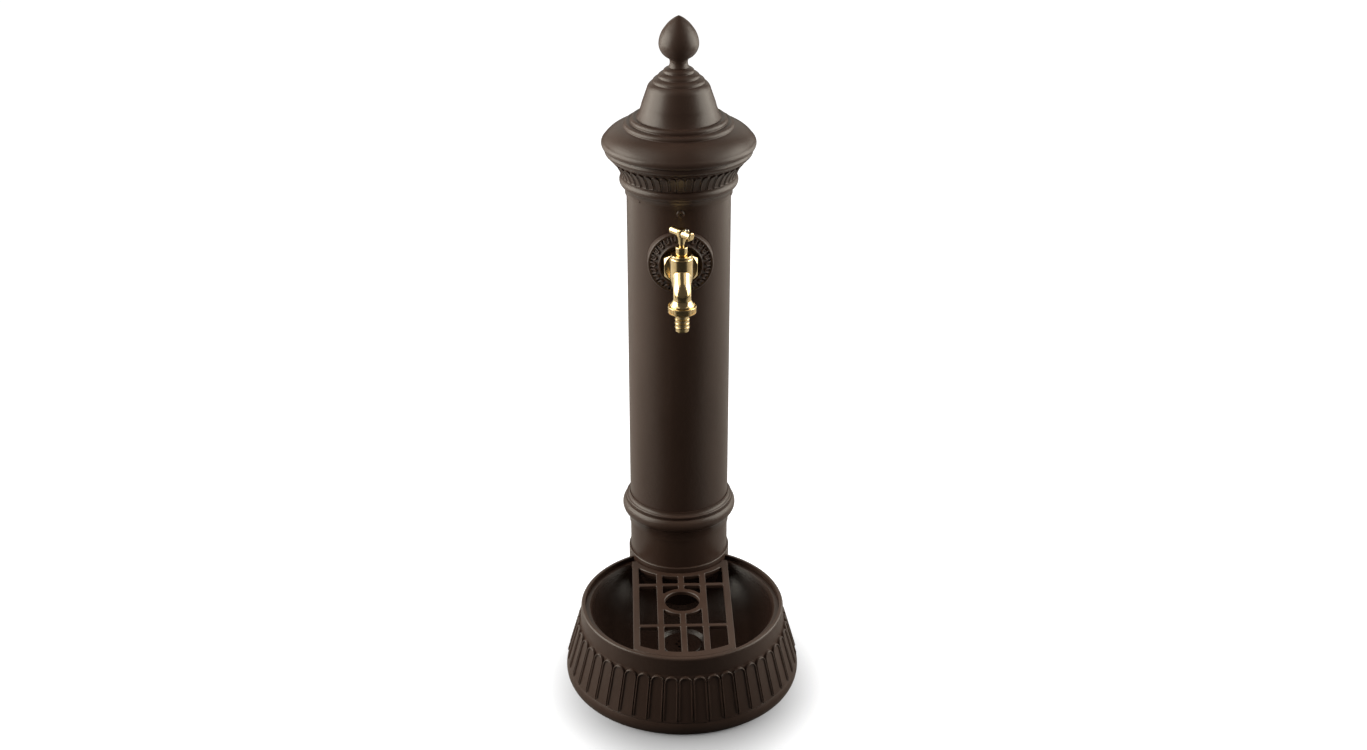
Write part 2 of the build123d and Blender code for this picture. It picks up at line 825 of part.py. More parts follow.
with BuildPart() as capital_set_screws:
    for angle in set_screw_angles:
        screw_plane = radial_plane(
            angle, lip_bottom + capital_lip_depth / 2, tube_radius + slip_gap
        )
        with BuildSketch(screw_plane):
            Circle(set_screw_radius)
        extrude(amount=capital_lip_wall + 0.5)
finish(capital_set_screws, "capital_set_screws")

# Roof: brim, two bead steps, bell and stepped rings, hollow inside
brim_top = capital_top + brim_thickness
bead_foot_height = brim_top + brim_slope_height
bell_foot = bead_foot_height + 2 * bead_height
bell_shoulder = bell_foot + bell_height
neck_seat_radius = finial_base_radius + 1.2


def bead(radius, height, size):
    """A quarter round of a given size that steps in and up."""
    return ThreePointArc(
        (radius, height),
        (radius - size * 0.18, height + size * 0.66),
        (radius - size * 0.95, height + size * 0.78),
    )


with BuildPart() as roof:
    with BuildSketch(Plane.XZ) as roof_section:
        with BuildLine():
            Line((roof_seat_radius - slip_gap, capital_top), (cornice_radius, capital_top))
            Line(
                (cornice_radius, capital_top),
                (brim_radius - 1.1, capital_top + brim_thickness * 0.12),
            )
            ThreePointArc(
                (brim_radius - 1.1, capital_top + brim_thickness * 0.12),
                (brim_radius, capital_top + brim_thickness * 0.5),
                (brim_radius - 2.2, brim_top),
            )
            ThreePointArc(
                (brim_radius - 2.2, brim_top),
                ((brim_radius + lower_bead_radius) / 2 + 1.4, brim_top + brim_slope_height * 0.63),
                (lower_bead_radius + 1.6, bead_foot_height),
            )
            Line(
                (lower_bead_radius + 1.6, bead_foot_height),
                (lower_bead_radius, bead_foot_height + 0.4),
            )
            lower = bead(lower_bead_radius, bead_foot_height + 0.4, bead_height)
            Polyline(
                lower @ 1,
                (upper_bead_radius + 0.5, (lower @ 1).Y - 0.1),
                (upper_bead_radius, (lower @ 1).Y + 0.5),
            )
            upper = bead(upper_bead_radius, (lower @ 1).Y + 0.5, bead_height)
            Polyline(
                upper @ 1,
                ((upper @ 1).X - 0.8, (upper @ 1).Y - 0.1),
                (bell_foot_radius + 1.2, bell_foot + 0.8),
            )
            ThreePointArc(
                (bell_foot_radius + 1.2, bell_foot + 0.8),
                (bell_foot_radius - 2.7, bell_foot + bell_height * 0.18),
                (bell_foot_radius - 4.8, bell_foot + bell_height * 0.38),
            )
            Line(
                (bell_foot_radius - 4.8, bell_foot + bell_height * 0.38),
                (bell_top_radius, bell_shoulder - 4.0),
            )
            ThreePointArc(
                (bell_top_radius, bell_shoulder - 4.0),
                (bell_top_radius - 1.2, bell_shoulder - 1.3),
                (bell_top_radius - 3.4, bell_shoulder),
            )
            step_run = (bell_top_radius - 3.4 - neck_seat_radius) / roof_steps
            step_rise = (roof_top - bell_shoulder) / roof_steps
            for step in range(roof_steps):
                radius = bell_top_radius - 3.4 - step * step_run
                height = bell_shoulder + step * step_rise
                swell_end = (radius - step_run * 0.62, height + step_rise * 0.6)
                ThreePointArc(
                    (radius, height),
                    (radius - step_run * 0.2, height + roof_step_swell + step_rise * 0.2),
                    swell_end,
                )
                Line(swell_end, (radius - step_run, height + step_rise))
            Polyline(
                (neck_seat_radius, roof_top),
                (tie_rod_radius + slip_gap, roof_top),
                (tie_rod_radius + slip_gap, roof_top - casting_wall - 4.0),
                (bell_top_radius - 12.0, bell_shoulder - casting_wall),
                (bell_top_radius - casting_wall - 2.0, bell_shoulder - casting_wall - 6.0),
                (bell_foot_radius - casting_wall - 3.0, bell_foot - 1.0),
                (lower_bead_radius - casting_wall, bead_foot_height - casting_wall),
                (roof_seat_radius - slip_gap - casting_wall, brim_top - casting_wall - 1.0),
                (roof_seat_radius - slip_gap - casting_wall, capital_top - roof_rim_depth),
                (roof_seat_radius - slip_gap, capital_top - roof_rim_depth),
                (roof_seat_radius - slip_gap, capital_top),
            )
        make_face()
    revolve(axis=column_axis)
finish(roof, "roof")

# Finial: acorn on a waisted neck, screwed on the tie rod
with BuildPart() as finial:
    with BuildSketch(Plane.XZ) as finial_section:
        with BuildLine():
            Polyline(
                (0, roof_top + finial_height),
                (0, roof_top),
                (finial_base_radius, roof_top),
                (finial_base_radius, roof_top + 0.8),
            )
            ThreePointArc(
                (finial_base_radius, roof_top + 0.8),
                (finial_neck_radius, roof_top + finial_height * 0.09),
                (finial_neck_radius + 1.3, roof_top + finial_height * 0.18),
            )
            Spline(
                (finial_neck_radius + 1.3, roof_top + finial_height * 0.18),
                (finial_radius * 0.74, roof_top + finial_height * 0.235),
                (finial_radius * 0.88, roof_top + finial_height * 0.30),
                (finial_radius * 0.97, roof_top + finial_height * 0.39),
                (finial_radius, roof_top + finial_height * 0.48),
                (finial_radius * 0.92, roof_top + finial_height * 0.62),
                (finial_radius * 0.70, roof_top + finial_height * 0.77),
                (finial_radius * 0.36, roof_top + finial_height * 0.92),
                (0, roof_top + finial_height),
                tangents=((0.75, 1.0), (-1.0, 0.45)),
            )
        make_face()
    revolve(axis=column_axis)
    with BuildSketch(level(roof_top)):
        Circle(tie_rod_radius + thread_gap)
    extrude(amount=tie_rod_in_finial + loose_gap, mode=Mode.SUBTRACT)
finish(finial, "finial")

# Anchor plate, tie rod with washer and nut
with BuildPart() as anchor_plate:
    with BuildSketch(level(0)):
        Circle(plate_radius)
        Circle(tie_rod_radius + thread_gap, mode=Mode.SUBTRACT)
        with PolarLocations(anchor_circle_radius, anchor_count, start_angle=90):
            Circle(anchor_hole_radius, mode=Mode.SUBTRACT)
        with Locations((0, -riser_set_back)):
            Circle(inlet_outer_radius + loose_gap / 2, mode=Mode.SUBTRACT)
    extrude(amount=plate_thickness)
finish(anchor_plate, "anchor_plate")

with BuildPart() as tie_rod:
    with BuildSketch(level(tie_rod_foot)):
        Circle(tie_rod_radius)
    extrude(amount=roof_top + tie_rod_in_finial - tie_rod_foot)
finish(tie_rod, "tie_rod")

with BuildPart() as tie_rod_washer:
    with BuildSketch(level(plate_thickness)):
        Circle(2 * tie_rod_radius)
        Circle(tie_rod_radius + slip_gap, mode=Mode.SUBTRACT)
    extrude(amount=washer_thickness)
finish(tie_rod_washer, "tie_rod_washer")

with BuildPart() as tie_rod_nut:
    with BuildSketch(level(plate_thickness + washer_thickness)):
        hexagon(tie_rod_nut_flats)
        Circle(tie_rod_radius + thread_gap, mode=Mode.SUBTRACT)
    extrude(amount=tie_rod_nut_height)
finish(tie_rod_nut, "tie_rod_nut")

# Water inlet: connector in the plate, riser pipe with a nut at each end, spacers
inlet_flange_top = plate_thickness + inlet_flange_thickness
pipe_stop = inlet_flange_top + 2.0
inlet_top = pipe_stop + pipe_socket_depth

with BuildPart() as inlet_connector:
    with BuildSketch(level(1.0, -riser_set_back)):
        Circle(inlet_outer_radius)
    extrude(amount=plate_thickness - 1.0)
    with BuildSketch(level(plate_thickness, -riser_set_back)):
        hexagon(inlet_flats)
    extrude(amount=inlet_flange_thickness)
    with BuildSketch(level(inlet_flange_top, -riser_set_back)):
        Circle(compression_radius)
    extrude(amount=inlet_top - inlet_flange_top)
    with BuildSketch(level(1.0, -riser_set_back)):
        Circle(inlet_thread_radius)
    extrude(amount=inlet_thread_depth, mode=Mode.SUBTRACT)
    with BuildSketch(level(1.0, -riser_set_back)):
        Circle(riser_radius - riser_wall)
    extrude(amount=inlet_top, mode=Mode.SUBTRACT)
    with BuildSketch(level(pipe_stop, -riser_set_back)):
        Circle(riser_radius + thread_gap)
    extrude(amount=inlet_top, mode=Mode.SUBTRACT)
finish(inlet_connector, "inlet_connector")

elbow_bottom = tap_height - elbow_drop
riser_top = elbow_bottom + pipe_socket_depth - 0.5

with BuildPart() as riser_pipe:
    with BuildSketch(level(pipe_stop, -riser_set_back)):
        Circle(riser_radius)
        Circle(riser_radius - riser_wall, mode=Mode.SUBTRACT)
    extrude(amount=riser_top - pipe_stop)
finish(riser_pipe, "riser_pipe")

with BuildPart() as riser_bottom_nut:
    nut_foot = inlet_top - compression_grip
    with BuildSketch(level(nut_foot, -riser_set_back)):
        hexagon(compression_nut_flats)
        Circle(riser_radius + slip_gap, mode=Mode.SUBTRACT)
    extrude(amount=compression_nut_height)
    with BuildSketch(level(nut_foot, -riser_set_back)):
        Circle(compression_radius + thread_gap)
    extrude(amount=compression_grip + slip_gap, mode=Mode.SUBTRACT)
finish(riser_bottom_nut, "riser_bottom_nut")

with BuildPart() as riser_top_nut:
    nut_crown = elbow_bottom + compression_grip
    with BuildSketch(level(nut_crown, -riser_set_back)):
        hexagon(compression_nut_flats)
        Circle(riser_radius + slip_gap, mode=Mode.SUBTRACT)
    extrude(amount=-compression_nut_height)
    with BuildSketch(level(nut_crown, -riser_set_back)):
        Circle(compression_radius + thread_gap)
    extrude(amount=-(compression_grip + slip_gap), mode=Mode.SUBTRACT)
finish(riser_top_nut, "riser_top_nut")

spacer_heights = {
    "lower_pipe_spacer": joint_height + lower_spacer_rise,
    "upper_pipe_spacer": tap_height - upper_spacer_drop,
}
for name, height in spacer_heights.items():
    with BuildPart() as pipe_spacer:
        with BuildSketch(level(height)):
            Circle(tube_bore - slip_gap)
            Circle(tie_rod_radius + slip_gap, mode=Mode.SUBTRACT)
            with Locations((0, -riser_set_back)):
                Circle(riser_radius + slip_gap, mode=Mode.SUBTRACT)
            with PolarLocations(tube_bore * 0.6, 3, start_angle=0, angular_range=180, endpoint=True):
                Circle(tube_bore * 0.22, mode=Mode.SUBTRACT)
        extrude(amount=spacer_thickness)
    finish(pipe_spacer, name)

# Rosette: round plate with a saddle back, raised rim and radial tongues
rosette_face = -(tube_radius + rosette_stand_off)
rosette_crown = rosette_face - rosette_rise
recess_floor = rosette_face + rosette_recess_depth
tongue_outer = rosette_radius - rosette_rim_width - 0.8
tongue_inner = rosette_recess_radius + rosette_lip_width + 0.6


def dish(radius):
    """Y of the rosette's sloping ring at a distance from its centre."""
    share = (tongue_outer - radius) / (tongue_outer - tongue_inner)
    return rosette_face + 1.2 - share * (rosette_rise + 0.6)


with BuildPart() as rosette_relief:
    with BuildSketch(Plane.YZ) as relief_section:
        with BuildLine():
            Polyline(
                (dish(tongue_outer) + 1.0, tap_height + tongue_outer),
                (dish(tongue_outer) - rosette_relief_height, tap_height + tongue_outer),
                (dish(tongue_inner) - rosette_relief_height, tap_height + tongue_inner),
                (dish(tongue_inner) + 1.0, tap_height + tongue_inner),
                close=True,
            )
        make_face()
    revolve(axis=tap_axis)
    with BuildSketch(front_plane(0)) as relief_outline:
        tongue_half = pi * (tongue_outer - 2.0) / rosette_tongues - rosette_tongue_gap / 2
        tongue_end = tongue_inner + 1.2 + tongue_half
        with PolarLocations(0, rosette_tongues):
            with BuildLine():
                Polyline(
                    (tongue_end, tongue_half * 0.8),
                    (tongue_outer + 1.0, tongue_half),
                    (tongue_outer + 1.0, -tongue_half),
                    (tongue_end, -tongue_half * 0.8),
                )
                ThreePointArc(
                    (tongue_end, -tongue_half * 0.8),
                    (tongue_end - tongue_half * 0.8, 0),
                    (tongue_end, tongue_half * 0.8),
                )
            make_face()
    extrude(amount=2 * tube_radius, mode=Mode.INTERSECT)

with BuildPart() as rosette:
    with BuildSketch(Plane.YZ) as rosette_section:
        with BuildLine():
            rim_inner = rosette_radius - rosette_rim_width
            Polyline(
                (0, tap_height + spigot_radius + loose_gap / 2),
                (0, tap_height + rosette_radius),
                (rosette_face + 1.4, tap_height + rosette_radius),
            )
            ThreePointArc(
                (rosette_face + 1.4, tap_height + rosette_radius),
                (rosette_face - 0.6, tap_height + rosette_radius - rosette_rim_width * 0.5),
                (rosette_face + 1.2, tap_height + rim_inner),
            )
            Polyline(
                (rosette_face + 1.2, tap_height + rim_inner),
                (rosette_face + 2.2, tap_height + rim_inner - 0.4),
                (dish(tongue_outer), tap_height + tongue_outer),
                (dish(tongue_inner), tap_height + tongue_inner),
                (rosette_crown, tap_height + rosette_recess_radius + rosette_lip_width),
            )
            ThreePointArc(
                (rosette_crown, tap_height + rosette_recess_radius + rosette_lip_width),
                (rosette_crown - 0.7, tap_height + rosette_recess_radius + rosette_lip_width / 2),
                (rosette_crown + 0.4, tap_height + rosette_recess_radius),
            )
            Polyline(
                (rosette_crown + 0.4, tap_height + rosette_recess_radius),
                (recess_floor, tap_height + rosette_recess_radius),
                (recess_floor, tap_height + spigot_radius + loose_gap / 2),
                (0, tap_height + spigot_radius + loose_gap / 2),
            )
        make_face()
    revolve(axis=tap_axis)
    add(rosette_relief.part)
    with BuildSketch(level(tap_height - 2 * rosette_radius)):
        Circle(tube_radius + slip_gap)
    extrude(amount=4 * rosette_radius, mode=Mode.SUBTRACT)
finish(rosette, "rosette")

# Tap: washer and nut against the rosette, and the body
wall_nut_back = recess_floor - wall_washer_thickness
wall_nut_front = wall_nut_back - wall_nut_thickness

with BuildPart() as tap_wall_washer:
    with BuildSketch(front_plane(recess_floor)):
        Circle(wall_nut_flats / 2)
        Circle(spigot_radius + slip_gap, mode=Mode.SUBTRACT)
    extrude(amount=wall_washer_thickness)
finish(tap_wall_washer, "tap_wall_washer")

with BuildPart() as wall_nut_turned:
    with BuildSketch(front_plane(wall_nut_back)):
        Circle(wall_nut_flats / 2 + wall_nut_corner)
    extrude(amount=wall_nut_thickness)
    chamfer(wall_nut_turned.edges().sort_by(Axis.Y)[0], wall_nut_chamfer)

with BuildPart() as tap_wall_nut:
    with BuildSketch(front_plane(wall_nut_back)):
        hexagon(wall_nut_flats)
    extrude(amount=wall_nut_thickness)
    add(wall_nut_turned.part, mode=Mode.INTERSECT)
    with BuildSketch(front_plane(wall_nut_back)):
        Circle(spigot_radius + thread_gap)
    extrude(amount=wall_nut_thickness, mode=Mode.SUBTRACT)
finish(tap_wall_nut, "tap_wall_nut")

spigot_end = -(tube_bore - spigot_inside)
lower_chamber_floor = tap_height - chamber_drop
seat_top = tap_height + seat_rise
bonnet_seat = barrel_top - bonnet_depth

with BuildPart() as tap_body:
    # Barrel with a round bottom
    with BuildSketch(spindle_plane):
        with BuildLine():
            barrel_foot = tap_height - barrel_foot_drop
            barrel_waist = tap_height - barrel_foot_drop * 0.55
            Polyline(
                (0, barrel_top),
                (0, barrel_foot),
                (barrel_waist_radius - barrel_foot_round, barrel_foot),
            )
            ThreePointArc(
                (barrel_waist_radius - barrel_foot_round, barrel_foot),
                (barrel_waist_radius - barrel_foot_round * 0.28, barrel_foot + 2.0),
                (barrel_waist_radius, barrel_waist),
            )
            ThreePointArc(
                (barrel_waist_radius, barrel_waist),
                (barrel_radius - 0.4, tap_height - 2.5),
                (barrel_radius, tap_height + 3.0),
            )
            Polyline(
                (barrel_radius, tap_height + 3.0),
                (barrel_radius, barrel_top - barrel_edge),
                (barrel_radius - barrel_edge, barrel_top),
                (0, barrel_top),
            )
        make_face()
    revolve(axis=spindle_axis)
    # Inlet neck, shoulder in front of the wall nut, threaded spigot behind it
    with BuildSketch(front_plane(spigot_end)):
        Circle(spigot_radius)
    extrude(amount=spindle_reach + spigot_end)
    with BuildSketch(front_plane(wall_nut_front)):
        Circle(spigot_radius + 1.6)
    extrude(amount=inlet_shoulder)
    # Spout that leaves the barrel forwards and turns down
    with BuildLine(Plane.YZ) as spout_path:
        FilletPolyline(
            (spindle_y, tap_height + spout_rise),
            (spout_y, tap_height - spout_corner_drop),
            (spout_y, spout_end),
            radius=spout_bend,
        )
    with BuildSketch(Plane(origin=spout_path.line @ 0, z_dir=spout_path.line % 0)):
        Circle(spout_radius)
    sweep(path=spout_path.line)
    with BuildSketch(spout_plane):
        with BuildLine():
            Polyline(
                (0, spout_end),
                (outlet_thread_radius, spout_end),
                (outlet_thread_radius, spout_end + outlet_thread_length),
            )
            ThreePointArc(
                (outlet_thread_radius, spout_end + outlet_thread_length),
                (spout_radius + 1.4, spout_end + outlet_thread_length + 2.2),
                (spout_radius - 0.2, spout_end + outlet_thread_length + spout_flare),
            )
            Polyline(
                (spout_radius - 0.2, spout_end + outlet_thread_length + spout_flare),
                (0, spout_end + outlet_thread_length + spout_flare),
                (0, spout_end),
            )
        make_face()
    revolve(axis=spout_axis)
    # Waterways
    with BuildSketch(front_plane(spigot_end)):
        Circle(spigot_radius - 3.0)
    extrude(amount=abs(wall_nut_front - spigot_end), mode=Mode.SUBTRACT)
    with BuildSketch(front_plane(wall_nut_front)):
        with Locations((0, -inlet_way_drop)):
            Circle(inlet_way_radius)
    extrude(amount=abs(spindle_y - wall_nut_front), mode=Mode.SUBTRACT)
    with BuildSketch(level(lower_chamber_floor, spindle_y)):
        Circle(seat_hole_radius + 2.0)
    extrude(amount=seat_top - seat_wall - lower_chamber_floor, mode=Mode.SUBTRACT)
    with BuildSketch(level(lower_chamber_floor, spindle_y)):
        Circle(seat_hole_radius)
    extrude(amount=barrel_top, mode=Mode.SUBTRACT)
    with BuildSketch(level(seat_top, spindle_y)):
        Circle(bonnet_thread_radius + thread_gap)
    extrude(amount=barrel_top, mode=Mode.SUBTRACT)
    with BuildLine(Plane.YZ) as outlet_path:
        FilletPolyline(
            (spindle_y - bonnet_thread_radius + 2.5, seat_top + spout_bore_radius),
            (spout_y, tap_height - spout_corner_drop + 2.0),
            (spout_y, spout_end),
            radius=spout_bend,
        )
    with BuildSketch(Plane(origin=outlet_path.line @ 0, z_dir=outlet_path.line % 0)):
        Circle(spout_bore_radius)
    sweep(path=outlet_path.line, mode=Mode.SUBTRACT)
finish(tap_body, "tap_body")

# Inside the tube: saddle, lock nut and elbow
saddle_flat = -(tube_bore - saddle_depth)
lock_nut_back = saddle_flat + lock_nut_thickness
elbow_face = lock_nut_back + loose_gap / 2

with BuildPart() as backing_saddle:
    with BuildSketch(front_plane(saddle_flat)):
        Circle(saddle_radius)
    extrude(amount=2 * saddle_depth)
    with BuildSketch(level(tap_height - saddle_radius)):
        Circle(tube_bore - slip_gap)
    extrude(amount=2 * saddle_radius, mode=Mode.INTERSECT)
    with BuildSketch(front_plane(saddle_flat)):
        Circle(spigot_radius + slip_gap)
    extrude(amount=2 * saddle_depth, mode=Mode.SUBTRACT)
finish(backing_saddle, "backing_saddle")

with BuildPart() as tap_lock_nut:
    with BuildSketch(front_plane(lock_nut_back)):
        hexagon(lock_nut_flats)
        Circle(spigot_radius + thread_gap, mode=Mode.SUBTRACT)
    extrude(amount=lock_nut_thickness)
finish(tap_lock_nut, "tap_lock_nut")

with BuildPart() as tap_elbow:
    elbow_length = abs(elbow_face) - riser_set_back + elbow_radius * 0.9
    with BuildSketch(front_plane(elbow_face)):
        Circle(elbow_radius)
    extrude(amount=-elbow_length)
    with BuildSketch(level(elbow_bottom, -riser_set_back)):
        Circle(compression_radius)
    extrude(amount=elbow_drop)
    with BuildSketch(front_plane(elbow_face)):
        Circle(spigot_radius + thread_gap)
    extrude(amount=-(abs(elbow_face) - abs(spigot_end) + loose_gap / 2), mode=Mode.SUBTRACT)
    with BuildSketch(front_plane(elbow_face)):
        Circle(riser_radius - riser_wall)
    extrude(amount=-(abs(elbow_face) - riser_set_back), mode=Mode.SUBTRACT)
    with BuildSketch(level(elbow_bottom, -riser_set_back)):
        Circle(riser_radius - riser_wall)
    extrude(amount=elbow_drop, mode=Mode.SUBTRACT)
    with BuildSketch(level(elbow_bottom, -riser_set_back)):
        Circle(riser_radius + thread_gap)
    extrude(amount=pipe_socket_depth, mode=Mode.SUBTRACT)
finish(tap_elbow, "tap_elbow")

# Headwork of the tap: bonnet, packing and gland nut
bonnet_top = barrel_top + bonnet_collar_height + bonnet_neck_height
stuffing_floor = bonnet_top - packing_height
gland_nut_foot = bonnet_top + gland_lid - gland_nut_height

with BuildPart() as tap_bonnet:
    with BuildSketch(level(bonnet_seat, spindle_y)):
        Circle(bonnet_thread_radius)
    extrude(amount=bonnet_depth)
    with BuildSketch(level(barrel_top, spindle_y)):
        Circle(bonnet_collar_radius)
    extrude(amount=bonnet_collar_height)
    chamfer(tap_bonnet.edges().sort_by(Axis.Z)[-1], 0.8)
    with BuildSketch(level(barrel_top + bonnet_collar_height, spindle_y)):
        Circle(bonnet_neck_radius)
    extrude(amount=bonnet_neck_height)
    with BuildSketch(level(bonnet_seat, spindle_y)):
        Circle(spindle_drum_radius + thread_gap)
    extrude(amount=bonnet_depth + bonnet_collar_height - 1.0, mode=Mode.SUBTRACT)
    with BuildSketch(level(bonnet_seat, spindle_y)):
        Circle(spindle_radius + thread_gap)
    extrude(amount=bonnet_top, mode=Mode.SUBTRACT)
    with BuildSketch(level(stuffing_floor, spindle_y)):
        Circle(packing_radius + thread_gap)
    extrude(amount=packing_height, mode=Mode.SUBTRACT)
finish(tap_bonnet, "tap_bonnet")

with BuildPart() as gland_packing:
    with BuildSketch(level(stuffing_floor, spindle_y)):
        Circle(packing_radius)
        Circle(spindle_radius + thread_gap, mode=Mode.SUBTRACT)
    extrude(amount=packing_height)
finish(gland_packing, "gland_packing")

with BuildPart() as gland_nut:
    with BuildSketch(level(gland_nut_foot, spindle_y)):
        Circle(gland_nut_radius)
    extrude(amount=gland_nut_height)
    chamfer(gland_nut.edges().sort_by(Axis.Z)[-1], 0.8)
    with BuildSketch(level(gland_nut_foot, spindle_y)):
        Circle(bonnet_neck_radius + thread_gap)
    extrude(amount=gland_nut_height - gland_lid, mode=Mode.SUBTRACT)
    with BuildSketch(level(gland_nut_foot, spindle_y)):
        Circle(spindle_radius + thread_gap)
    extrude(amount=gland_nut_height, mode=Mode.SUBTRACT)
finish(gland_nut, "gland_nut")

# Valve: rubber washer on the seat, jumper, rising spindle
jumper_seat = seat_top + seat_washer_thickness
jumper_top = jumper_seat + jumper_thickness
drum_foot = jumper_top + running_gap
spindle_top = handle_height + handle_hub_above - 2.0

with BuildPart() as seat_washer:
    with BuildSketch(level(seat_top, spindle_y)):
        Circle(seat_washer_radius)
    extrude(amount=seat_washer_thickness)
finish(seat_washer, "seat_washer")

with BuildPart() as jumper_valve:
    with BuildSketch(level(jumper_seat, spindle_y)):
        Circle(jumper_radius)
    extrude(amount=jumper_thickness)
    with BuildSketch(level(jumper_top, spindle_y)):
        Circle(jumper_stem_radius)
    extrude(amount=jumper_stem_length)
finish(jumper_valve, "jumper_valve")

with BuildPart() as tap_spindle:
    with BuildSketch(level(drum_foot, spindle_y)):
        Circle(spindle_drum_radius)
    extrude(amount=spindle_drum_height)
    with BuildSketch(level(drum_foot, spindle_y)):
        Circle(spindle_radius)
    extrude(amount=spindle_top - drum_foot)
    with BuildSketch(level(drum_foot, spindle_y)):
        Circle(jumper_stem_radius + thread_gap)
    extrude(amount=jumper_stem_length + loose_gap, mode=Mode.SUBTRACT)
finish(tap_spindle, "tap_spindle")

# T handle on the spindle, with the screw in its bar beside the hub
hub_top = handle_height + handle_hub_above
hub_foot = handle_height - handle_hub_below
boss_top = handle_height + handle_boss_above
bar_turn = radians(handle_turn_at_rest)
bar_direction = (cos(bar_turn), sin(bar_turn), 0)
bar_half = handle_length / 2
boss_place = (
    handle_boss_reach * bar_direction[0],
    spindle_y + handle_boss_reach * bar_direction[1],
)

with BuildPart() as tap_handle:
    bar_start = (
        -bar_half * bar_direction[0],
        spindle_y - bar_half * bar_direction[1],
        handle_height,
    )
    with BuildSketch(Plane(bar_start, z_dir=bar_direction)):
        Circle(handle_bar_radius)
    extrude(amount=handle_length)
    fillet(tap_handle.edges().filter_by(GeomType.CIRCLE), handle_bar_radius * 0.3)
    with BuildSketch(spindle_plane):
        with BuildLine():
            Polyline(
                (0, hub_top),
                (0, hub_foot),
                (handle_hub_foot_radius, hub_foot),
                (handle_hub_foot_radius, hub_foot + 1.5),
            )
            ThreePointArc(
                (handle_hub_foot_radius, hub_foot + 1.5),
                (handle_hub_foot_radius + 0.4, hub_foot + handle_hub_below * 0.4),
                (handle_hub_radius, handle_height - handle_bar_radius * 0.7),
            )
            Polyline(
                (handle_hub_radius, handle_height - handle_bar_radius * 0.7),
                (handle_hub_radius, hub_top - 1.2),
                (handle_hub_radius - 1.2, hub_top),
                (0, hub_top),
            )
        make_face()
    revolve(axis=spindle_axis)
    with BuildSketch(level(handle_height - handle_boss_below)):
        with Locations(boss_place):
            Circle(handle_boss_radius)
    extrude(amount=handle_boss_below + handle_boss_above)
    with BuildSketch(level(boss_top)):
        with Locations(boss_place):
            Circle(handle_screw_shank + thread_gap)
    extrude(amount=-(handle_screw_depth + loose_gap), mode=Mode.SUBTRACT)
    with BuildSketch(level(hub_foot, spindle_y)):
        Circle(spindle_radius + thread_gap)
    extrude(amount=spindle_top - hub_foot, mode=Mode.SUBTRACT)
finish(tap_handle, "tap_handle")

with BuildPart() as handle_screw:
    with BuildSketch(level(boss_top)):
        with Locations(boss_place):
            Circle(handle_screw_radius)
    extrude(amount=handle_screw_head)
    fillet(handle_screw.edges().sort_by(Axis.Z)[-1], handle_screw_head * 0.7)
    with BuildSketch(level(boss_top)):
        with Locations(boss_place):
            Circle(handle_screw_shank)
    extrude(amount=-handle_screw_depth)
finish(handle_screw, "handle_screw")

# Outlet: washer, ridged tail and nut
tail_flange_top = spout_end - hose_washer_thickness
tail_flange_foot = tail_flange_top - hose_tail_flange
tail_end = tail_flange_foot - hose_tail_length
hose_nut_foot = tail_flange_foot - hose_nut_floor

with BuildPart() as hose_washer:
    with BuildSketch(level(tail_flange_top, spout_y)):
        Circle(outlet_thread_radius - 0.6)
        Circle(hose_bore_radius, mode=Mode.SUBTRACT)
    extrude(amount=hose_washer_thickness)
finish(hose_washer, "hose_washer")

with BuildPart() as hose_tail:
    with BuildSketch(spout_plane):
        with BuildLine():
            ridge_foot = tail_end + 1.2
            Polyline(
                (hose_tail_core, ridge_foot),
                (hose_tail_core, tail_end),
                (hose_bore_radius, tail_end),
                (hose_bore_radius, tail_flange_top),
                (outlet_thread_radius - 0.6, tail_flange_top),
                (outlet_thread_radius - 0.6, tail_flange_foot),
                (hose_tail_core, tail_flange_foot),
                (hose_tail_core, ridge_foot + hose_tail_ridges * hose_tail_pitch),
            )
            for ridge in range(hose_tail_ridges):
                height = ridge_foot + ridge * hose_tail_pitch
                Polyline(
                    (hose_tail_core, height),
                    (hose_tail_radius, height + hose_tail_pitch * 0.68),
                    (hose_tail_radius, height + hose_tail_pitch * 0.84),
                    (hose_tail_core, height + hose_tail_pitch),
                )
        make_face()
    revolve(axis=spout_axis)
finish(hose_tail, "hose_tail")

with BuildPart() as hose_nut:
    with BuildSketch(level(hose_nut_foot, spout_y)):
        Circle(hose_nut_radius)
    extrude(amount=hose_nut_height)
    chamfer(hose_nut.edges().filter_by(GeomType.CIRCLE), 0.8)
    with BuildSketch(level(tail_flange_foot, spout_y)):
        Circle(outlet_thread_radius + thread_gap)
    extrude(amount=hose_nut_height, mode=Mode.SUBTRACT)
    with BuildSketch(level(hose_nut_foot, spout_y)):
        Circle(hose_tail_radius + loose_gap / 2)
    extrude(amount=hose_nut_height, mode=Mode.SUBTRACT)
finish(hose_nut, "hose_nut")
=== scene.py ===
import json
from math import atan2, cos, hypot, pi, radians, sin

import bpy
from mathutils import Euler, Matrix, Vector

